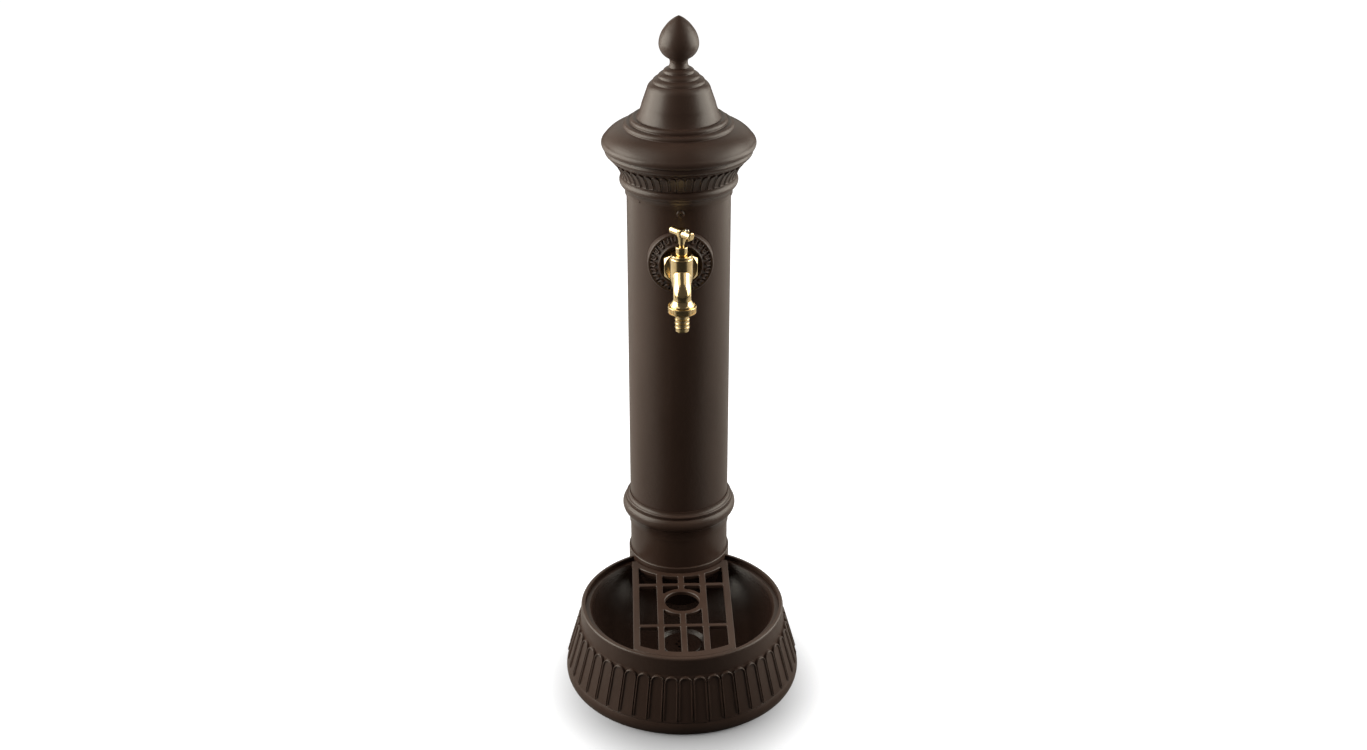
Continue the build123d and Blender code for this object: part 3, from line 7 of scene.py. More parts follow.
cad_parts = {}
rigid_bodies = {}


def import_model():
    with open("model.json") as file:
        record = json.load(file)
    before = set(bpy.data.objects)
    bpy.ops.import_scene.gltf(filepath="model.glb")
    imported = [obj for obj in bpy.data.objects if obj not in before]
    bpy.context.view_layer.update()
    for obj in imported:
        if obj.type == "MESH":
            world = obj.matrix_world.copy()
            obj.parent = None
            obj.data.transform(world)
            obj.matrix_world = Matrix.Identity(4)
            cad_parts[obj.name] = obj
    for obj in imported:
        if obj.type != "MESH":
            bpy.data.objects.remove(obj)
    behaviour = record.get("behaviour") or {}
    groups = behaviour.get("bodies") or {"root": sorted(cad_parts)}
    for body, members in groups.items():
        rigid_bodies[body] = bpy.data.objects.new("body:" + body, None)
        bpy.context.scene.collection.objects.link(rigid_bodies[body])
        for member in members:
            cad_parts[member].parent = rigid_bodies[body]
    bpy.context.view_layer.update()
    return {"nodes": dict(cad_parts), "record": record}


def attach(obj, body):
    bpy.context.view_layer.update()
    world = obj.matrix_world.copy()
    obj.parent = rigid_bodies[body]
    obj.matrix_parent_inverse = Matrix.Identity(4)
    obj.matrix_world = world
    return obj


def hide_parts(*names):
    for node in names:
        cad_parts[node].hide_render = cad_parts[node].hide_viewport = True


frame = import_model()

bl_info = {
    "name": "Garden Water Fountain",
    "version": (1, 0, 0),
    "blender": (4, 5, 0),
    "location": "View3D > Sidebar > Fountain",
    "description": "Finishes and fine pieces of a garden water fountain, and its studio",
    "category": "Object",
}

MM = 0.001
BODY = "fountain"

# Places of the axes in the frame
BASIN_Y = -121.0 * MM
SPOUT_Y = -119.0 * MM
TAP_Z = 488.0 * MM

# Merging distance for the corners of a piece, and the tolerance for picking faces and edges
WELD = 0.002 * MM
NEAR = 0.05 * MM

# Share of the casting grain for the small pieces of the tap
FINE = 0.6

# Tone of every lamp in the studio
LAMP_TONE = (1.0, 0.955, 0.84)


# Sizes and colours that a user may change


class FountainCasting(bpy.types.PropertyGroup):
    """Sizes of the moulded tongues on the basin, the capital and the rosette."""

    skirt_count: bpy.props.IntProperty(
        name="Skirt flutes", description="Flutes round the basin", default=48, min=12
    )
    skirt_rim: bpy.props.FloatProperty(
        name="Flute rim",
        description="Width of the raised rim of a flute",
        default=1.5 * MM,
        unit="LENGTH",
    )
    skirt_relief: bpy.props.FloatProperty(
        name="Flute relief",
        description="Height of the rim over the plain skirt",
        default=3.0 * MM,
        unit="LENGTH",
    )
    frieze_count: bpy.props.IntProperty(
        name="Frieze tongues", description="Tongues round the capital", default=48, min=12
    )
    frieze_rim: bpy.props.FloatProperty(
        name="Frieze rim",
        description="Width of the raised rim of a frieze tongue",
        default=1.1 * MM,
        unit="LENGTH",
    )
    rosette_count: bpy.props.IntProperty(
        name="Rosette tongues", description="Tongues round the rosette", default=24, min=8
    )
    rosette_rim: bpy.props.FloatProperty(
        name="Rosette rim",
        description="Width of the raised rim of a rosette tongue",
        default=1.2 * MM,
        unit="LENGTH",
    )


class FountainTap(bpy.types.PropertyGroup):
    """Sizes of the fine pieces of the tap."""

    ridges: bpy.props.IntProperty(
        name="Nut ridges", description="Ridges round the hose nut", default=44, min=12
    )
    ridge_depth: bpy.props.FloatProperty(
        name="Ridge depth",
        description="Depth of the grooves between the ridges",
        default=0.5 * MM,
        unit="LENGTH",
    )
    voxel: bpy.props.FloatProperty(
        name="Casting grain",
        description="Voxel size that softens the corners of the tap's casting",
        default=0.44 * MM,
        unit="LENGTH",
    )


class FountainColours(bpy.types.PropertyGroup):
    """Colours of the finishes."""

    paint: bpy.props.FloatVectorProperty(
        name="Paint",
        description="Dark brown paint of the castings",
        subtype="COLOR",
        size=4,
        default=(0.036, 0.0195, 0.0138, 1.0),
        min=0.0,
        max=1.0,
    )
    paint_light: bpy.props.FloatVectorProperty(
        name="Paint, rubbed",
        description="Lighter brown where the paint is thin or rubbed",
        subtype="COLOR",
        size=4,
        default=(0.048, 0.0275, 0.0205, 1.0),
        min=0.0,
        max=1.0,
    )
    # Painted shade: a darker brown that stands in for the shade inside the bowl
    paint_bowl_shade: bpy.props.FloatVectorProperty(
        name="Paint, bowl shade",
        description="Darker brown of the paint inside the bowl",
        subtype="COLOR",
        size=4,
        default=(0.017, 0.0092, 0.0068, 1.0),
        min=0.0,
        max=1.0,
    )
    brass: bpy.props.FloatVectorProperty(
        name="Brass",
        description="Polished brass of the tap",
        subtype="COLOR",
        size=4,
        default=(0.79, 0.605, 0.325, 1.0),
        min=0.0,
        max=1.0,
    )
    steel: bpy.props.FloatVectorProperty(
        name="Steel",
        description="Zinc plated steel",
        subtype="COLOR",
        size=4,
        default=(0.58, 0.56, 0.52, 1.0),
        min=0.0,
        max=1.0,
    )


class FountainStudio(bpy.types.PropertyGroup):
    """Camera, lamps and floor."""

    lens: bpy.props.FloatProperty(
        name="Lens", description="Focal length in millimetres on a 36 mm sensor", default=47.80
    )
    camera_place: bpy.props.FloatVectorProperty(
        name="Camera",
        description="Where the camera stands",
        subtype="TRANSLATION",
        unit="LENGTH",
        default=(-0.0577, -1.8898, 1.2574),
    )
    camera_pitch: bpy.props.FloatProperty(
        name="Pitch",
        description="How far the camera looks down",
        subtype="ANGLE",
        default=radians(26.338),
    )
    camera_turn: bpy.props.FloatProperty(
        name="Turn",
        description="How far the camera looks to the right",
        subtype="ANGLE",
        default=radians(1.912),
    )
    camera_roll: bpy.props.FloatProperty(
        name="Roll",
        description="How far the camera tips to the side",
        subtype="ANGLE",
        default=radians(0.06),
    )
    left_power: bpy.props.FloatProperty(
        name="Left lamp", description="Power of the large lamp on the left", default=30.3
    )
    right_power: bpy.props.FloatProperty(
        name="Right lamp", description="Power of the large lamp on the right", default=22.0
    )
    rear_power: bpy.props.FloatProperty(
        name="Rear lamps", description="Power of each low lamp behind", default=4.0
    )
    high_power: bpy.props.FloatProperty(
        name="High panel", description="Power of the dim panel high on the left", default=4.5
    )
    back_power: bpy.props.FloatProperty(
        name="Rear panel", description="Power of the wide panel behind", default=8.0
    )
    room: bpy.props.FloatProperty(
        name="Room", description="Brightness of the room round the fountain", default=0.09
    )
    # Painted shade: how dark the floor is before the basin, in reflections only
    front_shade: bpy.props.FloatProperty(
        name="Front shade", description="Brightness of the card before the basin", default=0.05
    )
    floor_lift: bpy.props.FloatProperty(
        name="Floor lift", description="White added to the floor at the foot", default=0.0
    )


# Node helpers and shared effects


def add_node(tree, kind, **values):
    """A shader node with its settings and input defaults."""
    node = tree.nodes.new(kind)
    for key, value in values.items():
        if hasattr(node, key):
            setattr(node, key, value)
        else:
            node.inputs[key.replace("_", " ")].default_value = value
    return node


def group_socket(tree, name, kind, way="INPUT", default=None):
    """A named socket on a node group."""
    socket = tree.interface.new_socket(name=name, in_out=way, socket_type=kind)
    if default is not None:
        socket.default_value = default


def cloud_group():
    """Slow, cloudy change between 0 and 1 over the surface, with a finer one in it."""
    tree = bpy.data.node_groups.new("Cloudy finish", "ShaderNodeTree")
    group_socket(tree, "Scale", "NodeSocketFloat", default=9.0)
    group_socket(tree, "Stretch", "NodeSocketFloat", default=1.0)
    group_socket(tree, "Mask", "NodeSocketFloat", way="OUTPUT")
    inputs = add_node(tree, "NodeGroupInput")
    outputs = add_node(tree, "NodeGroupOutput")
    place = add_node(tree, "ShaderNodeTexCoord")
    stretch = add_node(tree, "ShaderNodeCombineXYZ")
    stretch.inputs["X"].default_value = 1.0
    stretch.inputs["Y"].default_value = 1.0
    scaled = add_node(tree, "ShaderNodeVectorMath", operation="MULTIPLY")
    broad = add_node(tree, "ShaderNodeTexNoise", Detail=3.0, Roughness=0.55)
    ramp = add_node(tree, "ShaderNodeMapRange")
    ramp.inputs["From Min"].default_value = 0.35
    ramp.inputs["From Max"].default_value = 0.68
    link = tree.links.new
    link(inputs.outputs["Stretch"], stretch.inputs["Z"])
    link(place.outputs["Object"], scaled.inputs[0])
    link(stretch.outputs["Vector"], scaled.inputs[1])
    link(scaled.outputs["Vector"], broad.inputs["Vector"])
    link(inputs.outputs["Scale"], broad.inputs["Scale"])
    link(broad.outputs["Fac"], ramp.inputs["Value"])
    link(ramp.outputs["Result"], outputs.inputs["Mask"])
    return tree


def grain_group():
    """Fine cast grain as a height, from two sizes of noise."""
    tree = bpy.data.node_groups.new("Cast grain", "ShaderNodeTree")
    group_socket(tree, "Coarse", "NodeSocketFloat", default=420.0)
    group_socket(tree, "Fine", "NodeSocketFloat", default=1500.0)
    group_socket(tree, "Height", "NodeSocketFloat", way="OUTPUT")
    inputs = add_node(tree, "NodeGroupInput")
    outputs = add_node(tree, "NodeGroupOutput")
    place = add_node(tree, "ShaderNodeTexCoord")
    coarse = add_node(tree, "ShaderNodeTexNoise", Detail=2.0, Roughness=0.5)
    fine = add_node(tree, "ShaderNodeTexNoise", Detail=1.0, Roughness=0.5)
    fine_share = 0.35
    link = tree.links.new
    link(place.outputs["Object"], coarse.inputs["Vector"])
    link(place.outputs["Object"], fine.inputs["Vector"])
    link(inputs.outputs["Coarse"], coarse.inputs["Scale"])
    link(inputs.outputs["Fine"], fine.inputs["Scale"])
    height = maths(tree, "MULTIPLY_ADD", fine.outputs["Fac"], fine_share, coarse.outputs["Fac"])
    link(height, outputs.inputs["Height"])
    return tree


def use_group(tree, name, **values):
    """A placed copy of a shared effect with its own values."""
    node = tree.nodes.new("ShaderNodeGroup")
    node.node_tree = bpy.data.node_groups[name]
    for key, value in values.items():
        node.inputs[key].default_value = value
    return node


def new_material(name):
    """A material in the place of the frame's plain one, with its node tree and its shader."""
    plain = bpy.data.materials.get(name)
    if plain:
        bpy.data.materials.remove(plain)
    material = bpy.data.materials.new(name)
    material.use_nodes = True
    tree = material.node_tree
    return material, tree, tree.nodes["Principled BSDF"]


def grained_bump(tree, shader, strength, depth, coarse, fine):
    """Cast grain on the shader's normal, to a depth and at two noise scales."""
    grain = use_group(tree, "Cast grain", Coarse=coarse, Fine=fine)
    bump = add_node(tree, "ShaderNodeBump", Strength=strength, Distance=depth)
    tree.links.new(grain.outputs["Height"], bump.inputs["Height"])
    tree.links.new(bump.outputs["Normal"], shader.inputs["Normal"])


def spread(tree, value, from_low, from_high, low, high):
    """A value's range laid over another range."""
    node = add_node(tree, "ShaderNodeMapRange")
    node.inputs["From Min"].default_value = from_low
    node.inputs["From Max"].default_value = from_high
    node.inputs["To Min"].default_value = low
    node.inputs["To Max"].default_value = high
    tree.links.new(value, node.inputs["Value"])
    return node.outputs["Result"]


def maths(tree, operation, *values):
    """The result of a Math node; each value is a constant or a socket."""
    node = add_node(tree, "ShaderNodeMath", operation=operation)
    for socket, value in zip(node.inputs, values):
        if isinstance(value, bpy.types.NodeSocket):
            tree.links.new(value, socket)
        else:
            socket.default_value = value
    return node.outputs["Value"]


def blend(tree, kind, mask, first, second):
    """Two colours or two values mixed by a mask; each is a constant or a socket."""
    mix = add_node(tree, "ShaderNodeMix", data_type=kind)
    # The node has its own pair of inputs and its own output for each type of data
    start, result = (6, 2) if kind == "RGBA" else (2, 0)
    tree.links.new(mask, mix.inputs[0])
    for place, value in ((start, first), (start + 1, second)):
        if isinstance(value, bpy.types.NodeSocket):
            tree.links.new(value, mix.inputs[place])
        else:
            mix.inputs[place].default_value = value
    return mix.outputs[result]


def two_tones(tree, shader, mask, first, second, low, high):
    """Base colour between two colours and roughness between two values, by a mask."""
    tree.links.new(blend(tree, "RGBA", mask, first, second), shader.inputs["Base Color"])
    tree.links.new(spread(tree, mask, 0.0, 1.0, low, high), shader.inputs["Roughness"])


def outside_bowl(tree):
    """A mask that is 0 inside the bowl, below the grate, and 1 everywhere else."""
    place = add_node(tree, "ShaderNodeTexCoord").outputs["Object"]
    level = add_node(tree, "ShaderNodeVectorMath", operation="MULTIPLY")
    level.inputs[1].default_value = (1, 1, 0)
    split = add_node(tree, "ShaderNodeSeparateXYZ")
    reach = add_node(tree, "ShaderNodeVectorMath", operation="DISTANCE")
    reach.inputs[1].default_value = (0, BASIN_Y, 0)
    tree.links.new(place, split.inputs["Vector"])
    tree.links.new(place, level.inputs[0])
    tree.links.new(level.outputs["Vector"], reach.inputs[0])
    # The bowl's painted shade and its wet gloss end between these heights and these radii
    shaded_and_wet_top, unshaded_and_dry_from = 80.0 * MM, 86.0 * MM
    inner, outer = 111.2 * MM, 111.8 * MM
    above = spread(tree, split.outputs["Z"], shaded_and_wet_top, unshaded_and_dry_from, 0.0, 1.0)
    beyond = spread(tree, reach.outputs["Value"], inner, outer, 0.0, 1.0)
    return maths(tree, "MAXIMUM", above, beyond)


def brown_paint(colours):
    """Satin dark brown paint on a casting, a little cloudy, with fine grain.

    Inside the bowl, where water stands, it is glossier, and a painted shade makes it darker.
    """
    _, tree, shader = new_material("brown_paint")
    clouds = use_group(tree, "Cloudy finish", Scale=14.0, Stretch=0.35).outputs["Mask"]
    unshaded_and_dry = outside_bowl(tree)
    tone = blend(tree, "RGBA", clouds, colours.paint, colours.paint_light)
    # Painted shade: the paint turns darker inside the bowl, below the grate
    tone = blend(tree, "RGBA", unshaded_and_dry, colours.paint_bowl_shade, tone)
    smooth, rough, wet = 0.35, 0.42, 0.27
    sheen = spread(tree, clouds, 0.0, 1.0, smooth, rough)
    sheen = blend(tree, "FLOAT", unshaded_and_dry, wet, sheen)
    tree.links.new(tone, shader.inputs["Base Color"])
    tree.links.new(sheen, shader.inputs["Roughness"])
    grained_bump(tree, shader, 0.18, 0.4 * MM, 420.0, 1500.0)
    shader.inputs["Specular IOR Level"].default_value = 0.4


def polished_brass(colours):
    """Polished brass with faint clouds of handling."""
    _, tree, shader = new_material("polished_brass")
    shader.inputs["Metallic"].default_value = 1.0
    clouds = use_group(tree, "Cloudy finish", Scale=60.0, Stretch=1.0)
    duller = [channel * 0.86 for channel in colours.brass[:3]] + [1.0]
    two_tones(tree, shader, clouds.outputs["Mask"], colours.brass, duller, 0.14, 0.22)
    grained_bump(tree, shader, 0.12, 0.2 * MM, 500.0, 1900.0)


def zinc_steel(colours):
    """Plated steel of the anchor plate, rod and nuts."""
    _, tree, shader = new_material("zinc_steel")
    shader.inputs["Metallic"].default_value = 1.0
    clouds = use_group(tree, "Cloudy finish", Scale=40.0, Stretch=1.0)
    duller = [channel * 0.7 for channel in colours.steel[:3]] + [1.0]
    two_tones(tree, shader, clouds.outputs["Mask"], colours.steel, duller, 0.30, 0.45)
    grained_bump(tree, shader, 0.10, 0.2 * MM, 600.0, 2200.0)


def moulded(name, first, second, rough):
    """Rubber or plastic with a fine moulded surface."""
    _, tree, shader = new_material(name)
    clouds = use_group(tree, "Cloudy finish", Scale=50.0, Stretch=1.0)
    two_tones(tree, shader, clouds.outputs["Mask"], first, second, rough, rough + 0.12)
    grained_bump(tree, shader, 0.12, 0.2 * MM, 900.0, 2600.0)


# Mesh helpers


def settings(name):
    """One of the add-on's groups of settings."""
    return getattr(bpy.context.scene, name)


def clear_selection():
    """Leaves edit mode and deselects everything."""
    if bpy.context.object and bpy.context.object.mode != "OBJECT":
        bpy.ops.object.mode_set(mode="OBJECT")
    bpy.ops.object.select_all(action="DESELECT")


def only(piece):
    """Selects one object alone and makes it active."""
    clear_selection()
    piece.select_set(True)
    bpy.context.view_layer.objects.active = piece


def finish_piece(piece, name, slot, angle=35.0, body=BODY, replaced=()):
    """Names a finished piece, applies its place, and ties it to its body and slot."""
    only(piece)
    bpy.ops.object.transform_apply(location=True, rotation=True, scale=True)
    bpy.ops.object.mode_set(mode="EDIT")
    bpy.ops.mesh.select_all(action="SELECT")
    bpy.ops.mesh.remove_doubles(threshold=WELD)
    bpy.ops.mesh.normals_make_consistent(inside=False)
    bpy.ops.object.mode_set(mode="OBJECT")
    bpy.ops.object.shade_smooth_by_angle(angle=radians(angle))
    piece.name = name
    piece.data.name = name
    piece.data.materials.clear()
    piece.data.materials.append(bpy.data.materials[slot])
    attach(piece, body)
    if replaced:
        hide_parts(*replaced)
    clear_selection()


def apply_modifiers(piece):
    """Applies a piece's modifiers in order."""
    only(piece)
    for name in [modifier.name for modifier in piece.modifiers]:
        bpy.ops.object.modifier_apply(modifier=name)


def select_faces(piece, wanted):
    """Selects in edit mode the faces that a test picks."""
    bpy.ops.object.mode_set(mode="EDIT")
    bpy.ops.mesh.select_mode(type="FACE")
    bpy.ops.mesh.select_all(action="DESELECT")
    bpy.ops.object.mode_set(mode="OBJECT")
    for face in piece.data.polygons:
        face.select = wanted(face)
    bpy.ops.object.mode_set(mode="EDIT")


def select_edges(piece, wanted):
    """Selects in edit mode the edges whose two ends both pass a test."""
    bpy.ops.object.mode_set(mode="EDIT")
    bpy.ops.mesh.select_mode(type="EDGE")
    bpy.ops.mesh.select_all(action="DESELECT")
    bpy.ops.object.mode_set(mode="OBJECT")
    places = [vertex.co for vertex in piece.data.vertices]
    for edge in piece.data.edges:
        edge.select = all(wanted(places[end]) for end in edge.vertices)
    bpy.ops.object.mode_set(mode="EDIT")


def cylinder(sides, radius, depth, place):
    """A plain cylinder to shape further, with its middle at a place."""
    clear_selection()
    bpy.ops.mesh.primitive_cylinder_add(
        vertices=sides, radius=radius, depth=depth, location=place, end_fill_type="NGON"
    )
    piece = bpy.context.object
    bpy.ops.object.transform_apply(location=True, rotation=True, scale=True)
    return piece


def cut_slots(piece, slots):
    """Cuts bars of (length, width, depth, middle) out of a piece."""
    for length, width, depth, middle in slots:
        clear_selection()
        bpy.ops.mesh.primitive_cube_add(size=1.0, location=middle)
        bar = bpy.context.object
        bar.scale = (length, width, depth)
        cut = piece.modifiers.new("Slot", "BOOLEAN")
        cut.operation = "DIFFERENCE"
        cut.object = bar
        apply_modifiers(piece)
        bpy.data.objects.remove(bar)


def softened(name, voxel, rounds):
    """A merged copy of a CAD piece with its corners blended as on a casting."""
    only(frame["nodes"][name])
    bpy.ops.object.duplicate(linked=False)
    piece = bpy.context.object
    bpy.ops.object.parent_clear(type="CLEAR_KEEP_TRANSFORM")
    # The copy doesn't keep the CAD piece's marks
    for key in list(piece.keys()):
        if key.startswith("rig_"):
            del piece[key]
    bpy.ops.object.mode_set(mode="EDIT")
    bpy.ops.mesh.select_all(action="SELECT")
    bpy.ops.mesh.remove_doubles(threshold=WELD)
    bpy.ops.object.mode_set(mode="OBJECT")
    remesh = piece.modifiers.new("Remesh", "REMESH")
    remesh.mode = "VOXEL"
    remesh.voxel_size = voxel
    smooth = piece.modifiers.new("Smooth", "SMOOTH")
    smooth.factor = 0.5
    smooth.iterations = rounds
    apply_modifiers(piece)
    return piece


def flat_tongue(outline, rim, wall, hollow, cuts, core=0.0):
    """A flat tongue with a raised round rim and a hollow middle, cut across at heights.

    The outline lies in X and Y, and the relief stands in Z. A core rises in the hollow.
    """
    edge, slope, groove = rim * 0.22, rim * 0.35, rim * 0.25
    clear_selection()
    bpy.ops.mesh.primitive_circle_add(
        vertices=len(outline), radius=rim, fill_type="NGON", location=(0, 0, 0)
    )
    piece = bpy.context.object
    for vertex, (x, y) in zip(piece.data.vertices, outline):
        vertex.co = (x, y, 0)
    bpy.ops.object.mode_set(mode="EDIT")
    bpy.ops.mesh.select_all(action="SELECT")
    bpy.ops.mesh.extrude_region_move(TRANSFORM_OT_translate={"value": (0, 0, wall - edge)})
    profile = [(edge, edge), (rim - 2 * edge, 0.0), (edge, -edge), (slope, -hollow)]
    if core:
        profile += [(groove, 0.0), (slope, core)]
    for inset, rise in profile:
        bpy.ops.mesh.inset(thickness=inset, depth=0)
        bpy.ops.transform.translate(value=(0, 0, rise))
    for height in cuts:
        bpy.ops.mesh.select_all(action="SELECT")
        bpy.ops.mesh.bisect(plane_co=(0, height, 0), plane_no=(0, 1, 0))
    bpy.ops.mesh.select_all(action="SELECT")
    bpy.ops.mesh.bisect(plane_co=(0, 0, 0), plane_no=(1, 0, 0))
    bpy.ops.object.mode_set(mode="OBJECT")
    return piece


def copy_round(piece, count, turn):
    """Copies a piece round an axis with a turning function, and joins the copies.

    Each copy has its own mesh.
    """
    copies = [piece]
    for step in range(1, count):
        only(piece)
        bpy.ops.object.duplicate(linked=False)
        copy = bpy.context.object
        for vertex in copy.data.vertices:
            vertex.co = turn(vertex.co, 2 * pi * step / count)
        copies.append(copy)
    clear_selection()
    for copy in copies:
        copy.select_set(True)
    bpy.context.view_layer.objects.active = piece
    bpy.ops.object.join()
    return bpy.context.object


def arch(foot, shoulder, foot_half, arch_half, steps):
    """Outline of a tongue with a round top, anticlockwise from its left foot."""
    points = [(-foot_half, foot), (foot_half, foot)]
    for step in range(steps + 1):
        angle = pi * step / steps
        points.append((arch_half * cos(angle), shoulder + arch_half * sin(angle)))
    return points


def arc_centre(first, second, third):
    """Centre of the circle through three flat points."""
    a, b = second - first, third - first
    cross = 2 * (a.x * b.y - a.y * b.x)
    x = (b.y * a.length_squared - a.y * b.length_squared) / cross
    y = (a.x * b.length_squared - b.x * a.length_squared) / cross
    return first + Vector((x, y))


def arc_points(first, middle, last, count):
    """Points along the arc through three flat points, without the first of them."""
    first, middle, last = Vector(first), Vector(middle), Vector(last)
    centre = arc_centre(first, middle, last)
    start, through, end = (atan2(*(point - centre).yx) for point in (first, middle, last))
    sweep = (end - start) % (2 * pi)
    if (through - start) % (2 * pi) > sweep:
        sweep -= 2 * pi
    radius = (first - centre).length
    angles = [start + sweep * step / count for step in range(1, count + 1)]
    return [tuple(centre + radius * Vector((cos(angle), sin(angle)))) for angle in angles]


def turned(outline, soft, rounding, steps):
    """Spins a closed outline of (radius, height) about the column's axis.

    The first corners, as many as soft, are rounded before the spin.
    """
    clear_selection()
    bpy.ops.mesh.primitive_circle_add(vertices=len(outline), radius=MM, fill_type="NOTHING")
    piece = bpy.context.object
    bpy.ops.object.mode_set(mode="EDIT")
    bpy.ops.mesh.select_mode(type="VERT")
    bpy.ops.mesh.select_all(action="DESELECT")
    bpy.ops.object.mode_set(mode="OBJECT")
    for vertex, (radius, height) in zip(piece.data.vertices, outline):
        vertex.co = (radius * MM, 0, height * MM)
        vertex.select = vertex.index < soft
    bpy.ops.object.mode_set(mode="EDIT")
    bpy.ops.mesh.bevel(offset=rounding, segments=3, affect="VERTICES")
    bpy.ops.mesh.select_all(action="SELECT")
    bpy.ops.mesh.spin(steps=steps, angle=2 * pi, center=(0, 0, 0), axis=(0, 0, 1))
    bpy.ops.object.mode_set(mode="OBJECT")
    return piece


def screw_blank(radius, head, shank, depth, dome):
    """A domed screw along Z, with the seat of its head at the origin."""
    screw = cylinder(32, radius, head, (0, 0, head / 2))
    select_edges(screw, lambda place: place.z > head - NEAR)
    bpy.ops.mesh.bevel(offset=dome, segments=4)
    bpy.ops.object.mode_set(mode="OBJECT")
    select_faces(screw, lambda face: face.normal.z < -0.9)
    bpy.ops.mesh.inset(thickness=radius - shank, depth=0)
    bpy.ops.mesh.extrude_region_move(TRANSFORM_OT_translate={"value": (0, 0, -depth)})
    bpy.ops.object.mode_set(mode="OBJECT")
    return screw


# Pieces


class FOUNTAIN_OT_finishes(bpy.types.Operator):
    """Make the finishes and give them to the fountain's castings and inner pieces"""

    bl_idname = "fountain.finishes"
    bl_label = "Finishes"

    def execute(self, context):
        colours = settings("fountain_colours")
        cloud_group()
        grain_group()
        brown_paint(colours)
        polished_brass(colours)
        zinc_steel(colours)
        moulded("black_rubber", (0.02, 0.02, 0.02, 1), (0.035, 0.033, 0.03, 1), 0.6)
        moulded("grey_plastic", (0.20, 0.20, 0.21, 1), (0.26, 0.26, 0.27, 1), 0.5)
        slots = {row["node"]: row["material_slot"] for row in frame["record"]["subparts"]}
        for name, node in frame["nodes"].items():
            node.data.materials.clear()
            node.data.materials.append(bpy.data.materials[slots[name]])
        return {"FINISHED"}


def turn_upright(centre_y):
    """A turn of a point about an upright axis."""

    def turn(point, angle):
        x, y = point.x, point.y - centre_y
        return Vector(
            (
                x * cos(angle) - y * sin(angle),
                x * sin(angle) + y * cos(angle) + centre_y,
                point.z,
            )
        )

    return turn


class FOUNTAIN_OT_skirt_flutes(bpy.types.Operator):
    """Raise a rimmed, hollow flute over each flute of the basin's skirt"""

    bl_idname = "fountain.skirt_flutes"
    bl_label = "Skirt flutes"

    def execute(self, context):
        casting = settings("fountain_casting")
        foot, shoulder = 12.5 * MM, 60.2 * MM
        foot_half, arch_half = 8.2 * MM, 7.4 * MM
        hollow = 1.3 * MM
        band_low, band_high, sunk = 14.5 * MM, 20.0 * MM, 0.6 * MM
        outline = arch(foot, shoulder, foot_half, arch_half, 12)
        cuts = [band_high, 35.0 * MM, shoulder]
        piece = flat_tongue(outline, casting.skirt_rim, casting.skirt_relief, hollow, cuts)
        slope_foot, slope_top = 17.0 * MM, 68.0 * MM
        foot_radius, top_radius = 132.1 * MM, 117.8 * MM
        for vertex in piece.data.vertices:
            x, y, z = vertex.co
            share = (y - slope_foot) / (slope_top - slope_foot)
            skirt = foot_radius + share * (top_radius - foot_radius)
            # The flutes sink into the foot band
            out = min(1.0, max(0.0, (y - band_low) / (band_high - band_low)))
            radius = skirt + z * out - sunk * (1 - out)
            angle = x / skirt
            vertex.co = (radius * sin(angle), BASIN_Y - radius * cos(angle), y)
        piece = copy_round(piece, casting.skirt_count, turn_upright(BASIN_Y))
        # Flutes that would stand inside the pedestal are taken off
        pedestal_reach = 57.0 * MM
        select_faces(piece, lambda face: hypot(face.center.x, face.center.y) < pedestal_reach)
        bpy.ops.mesh.delete(type="FACE")
        finish_piece(piece, "skirt_flutes", "brown_paint", angle=50)
        return {"FINISHED"}


class FOUNTAIN_OT_frieze_tongues(bpy.types.Operator):
    """Raise a rimmed tongue over each tongue of the capital's hollow frieze"""

    bl_idname = "fountain.frieze_tongues"
    bl_label = "Frieze tongues"

    def execute(self, context):
        casting = settings("fountain_casting")
        foot, shoulder = 570.8 * MM, 586.0 * MM
        foot_half, arch_half = 3.7 * MM, 4.02 * MM
        relief, hollow = 1.6 * MM, 0.4 * MM
        outline = arch(foot, shoulder, foot_half, arch_half, 8)
        cuts = [height * MM for height in (574.5, 578.5, 582.5, 586.0)]
        piece = flat_tongue(outline, casting.frieze_rim, relief, hollow, cuts)
        # The frieze's hollow curve, an arc through its foot, its middle and its top
        low = Vector((62.5 * MM, 570.7 * MM))
        middle = Vector((67.904 * MM, 583.02 * MM))
        high = Vector((76.8 * MM, 592.7 * MM))
        centre = arc_centre(low, middle, high)
        reach = (low - centre).length
        for vertex in piece.data.vertices:
            x, y, z = vertex.co
            surface = centre.x - (reach**2 - (y - centre.y) ** 2) ** 0.5
            away = (centre - Vector((surface, y))).normalized()
            radius = surface + z * away.x
            angle = x / surface
            vertex.co = (radius * sin(angle), -radius * cos(angle), y + z * away.y)
        piece = copy_round(piece, casting.frieze_count, turn_upright(0.0))
        finish_piece(piece, "frieze_tongues", "brown_paint", angle=50)
        return {"FINISHED"}


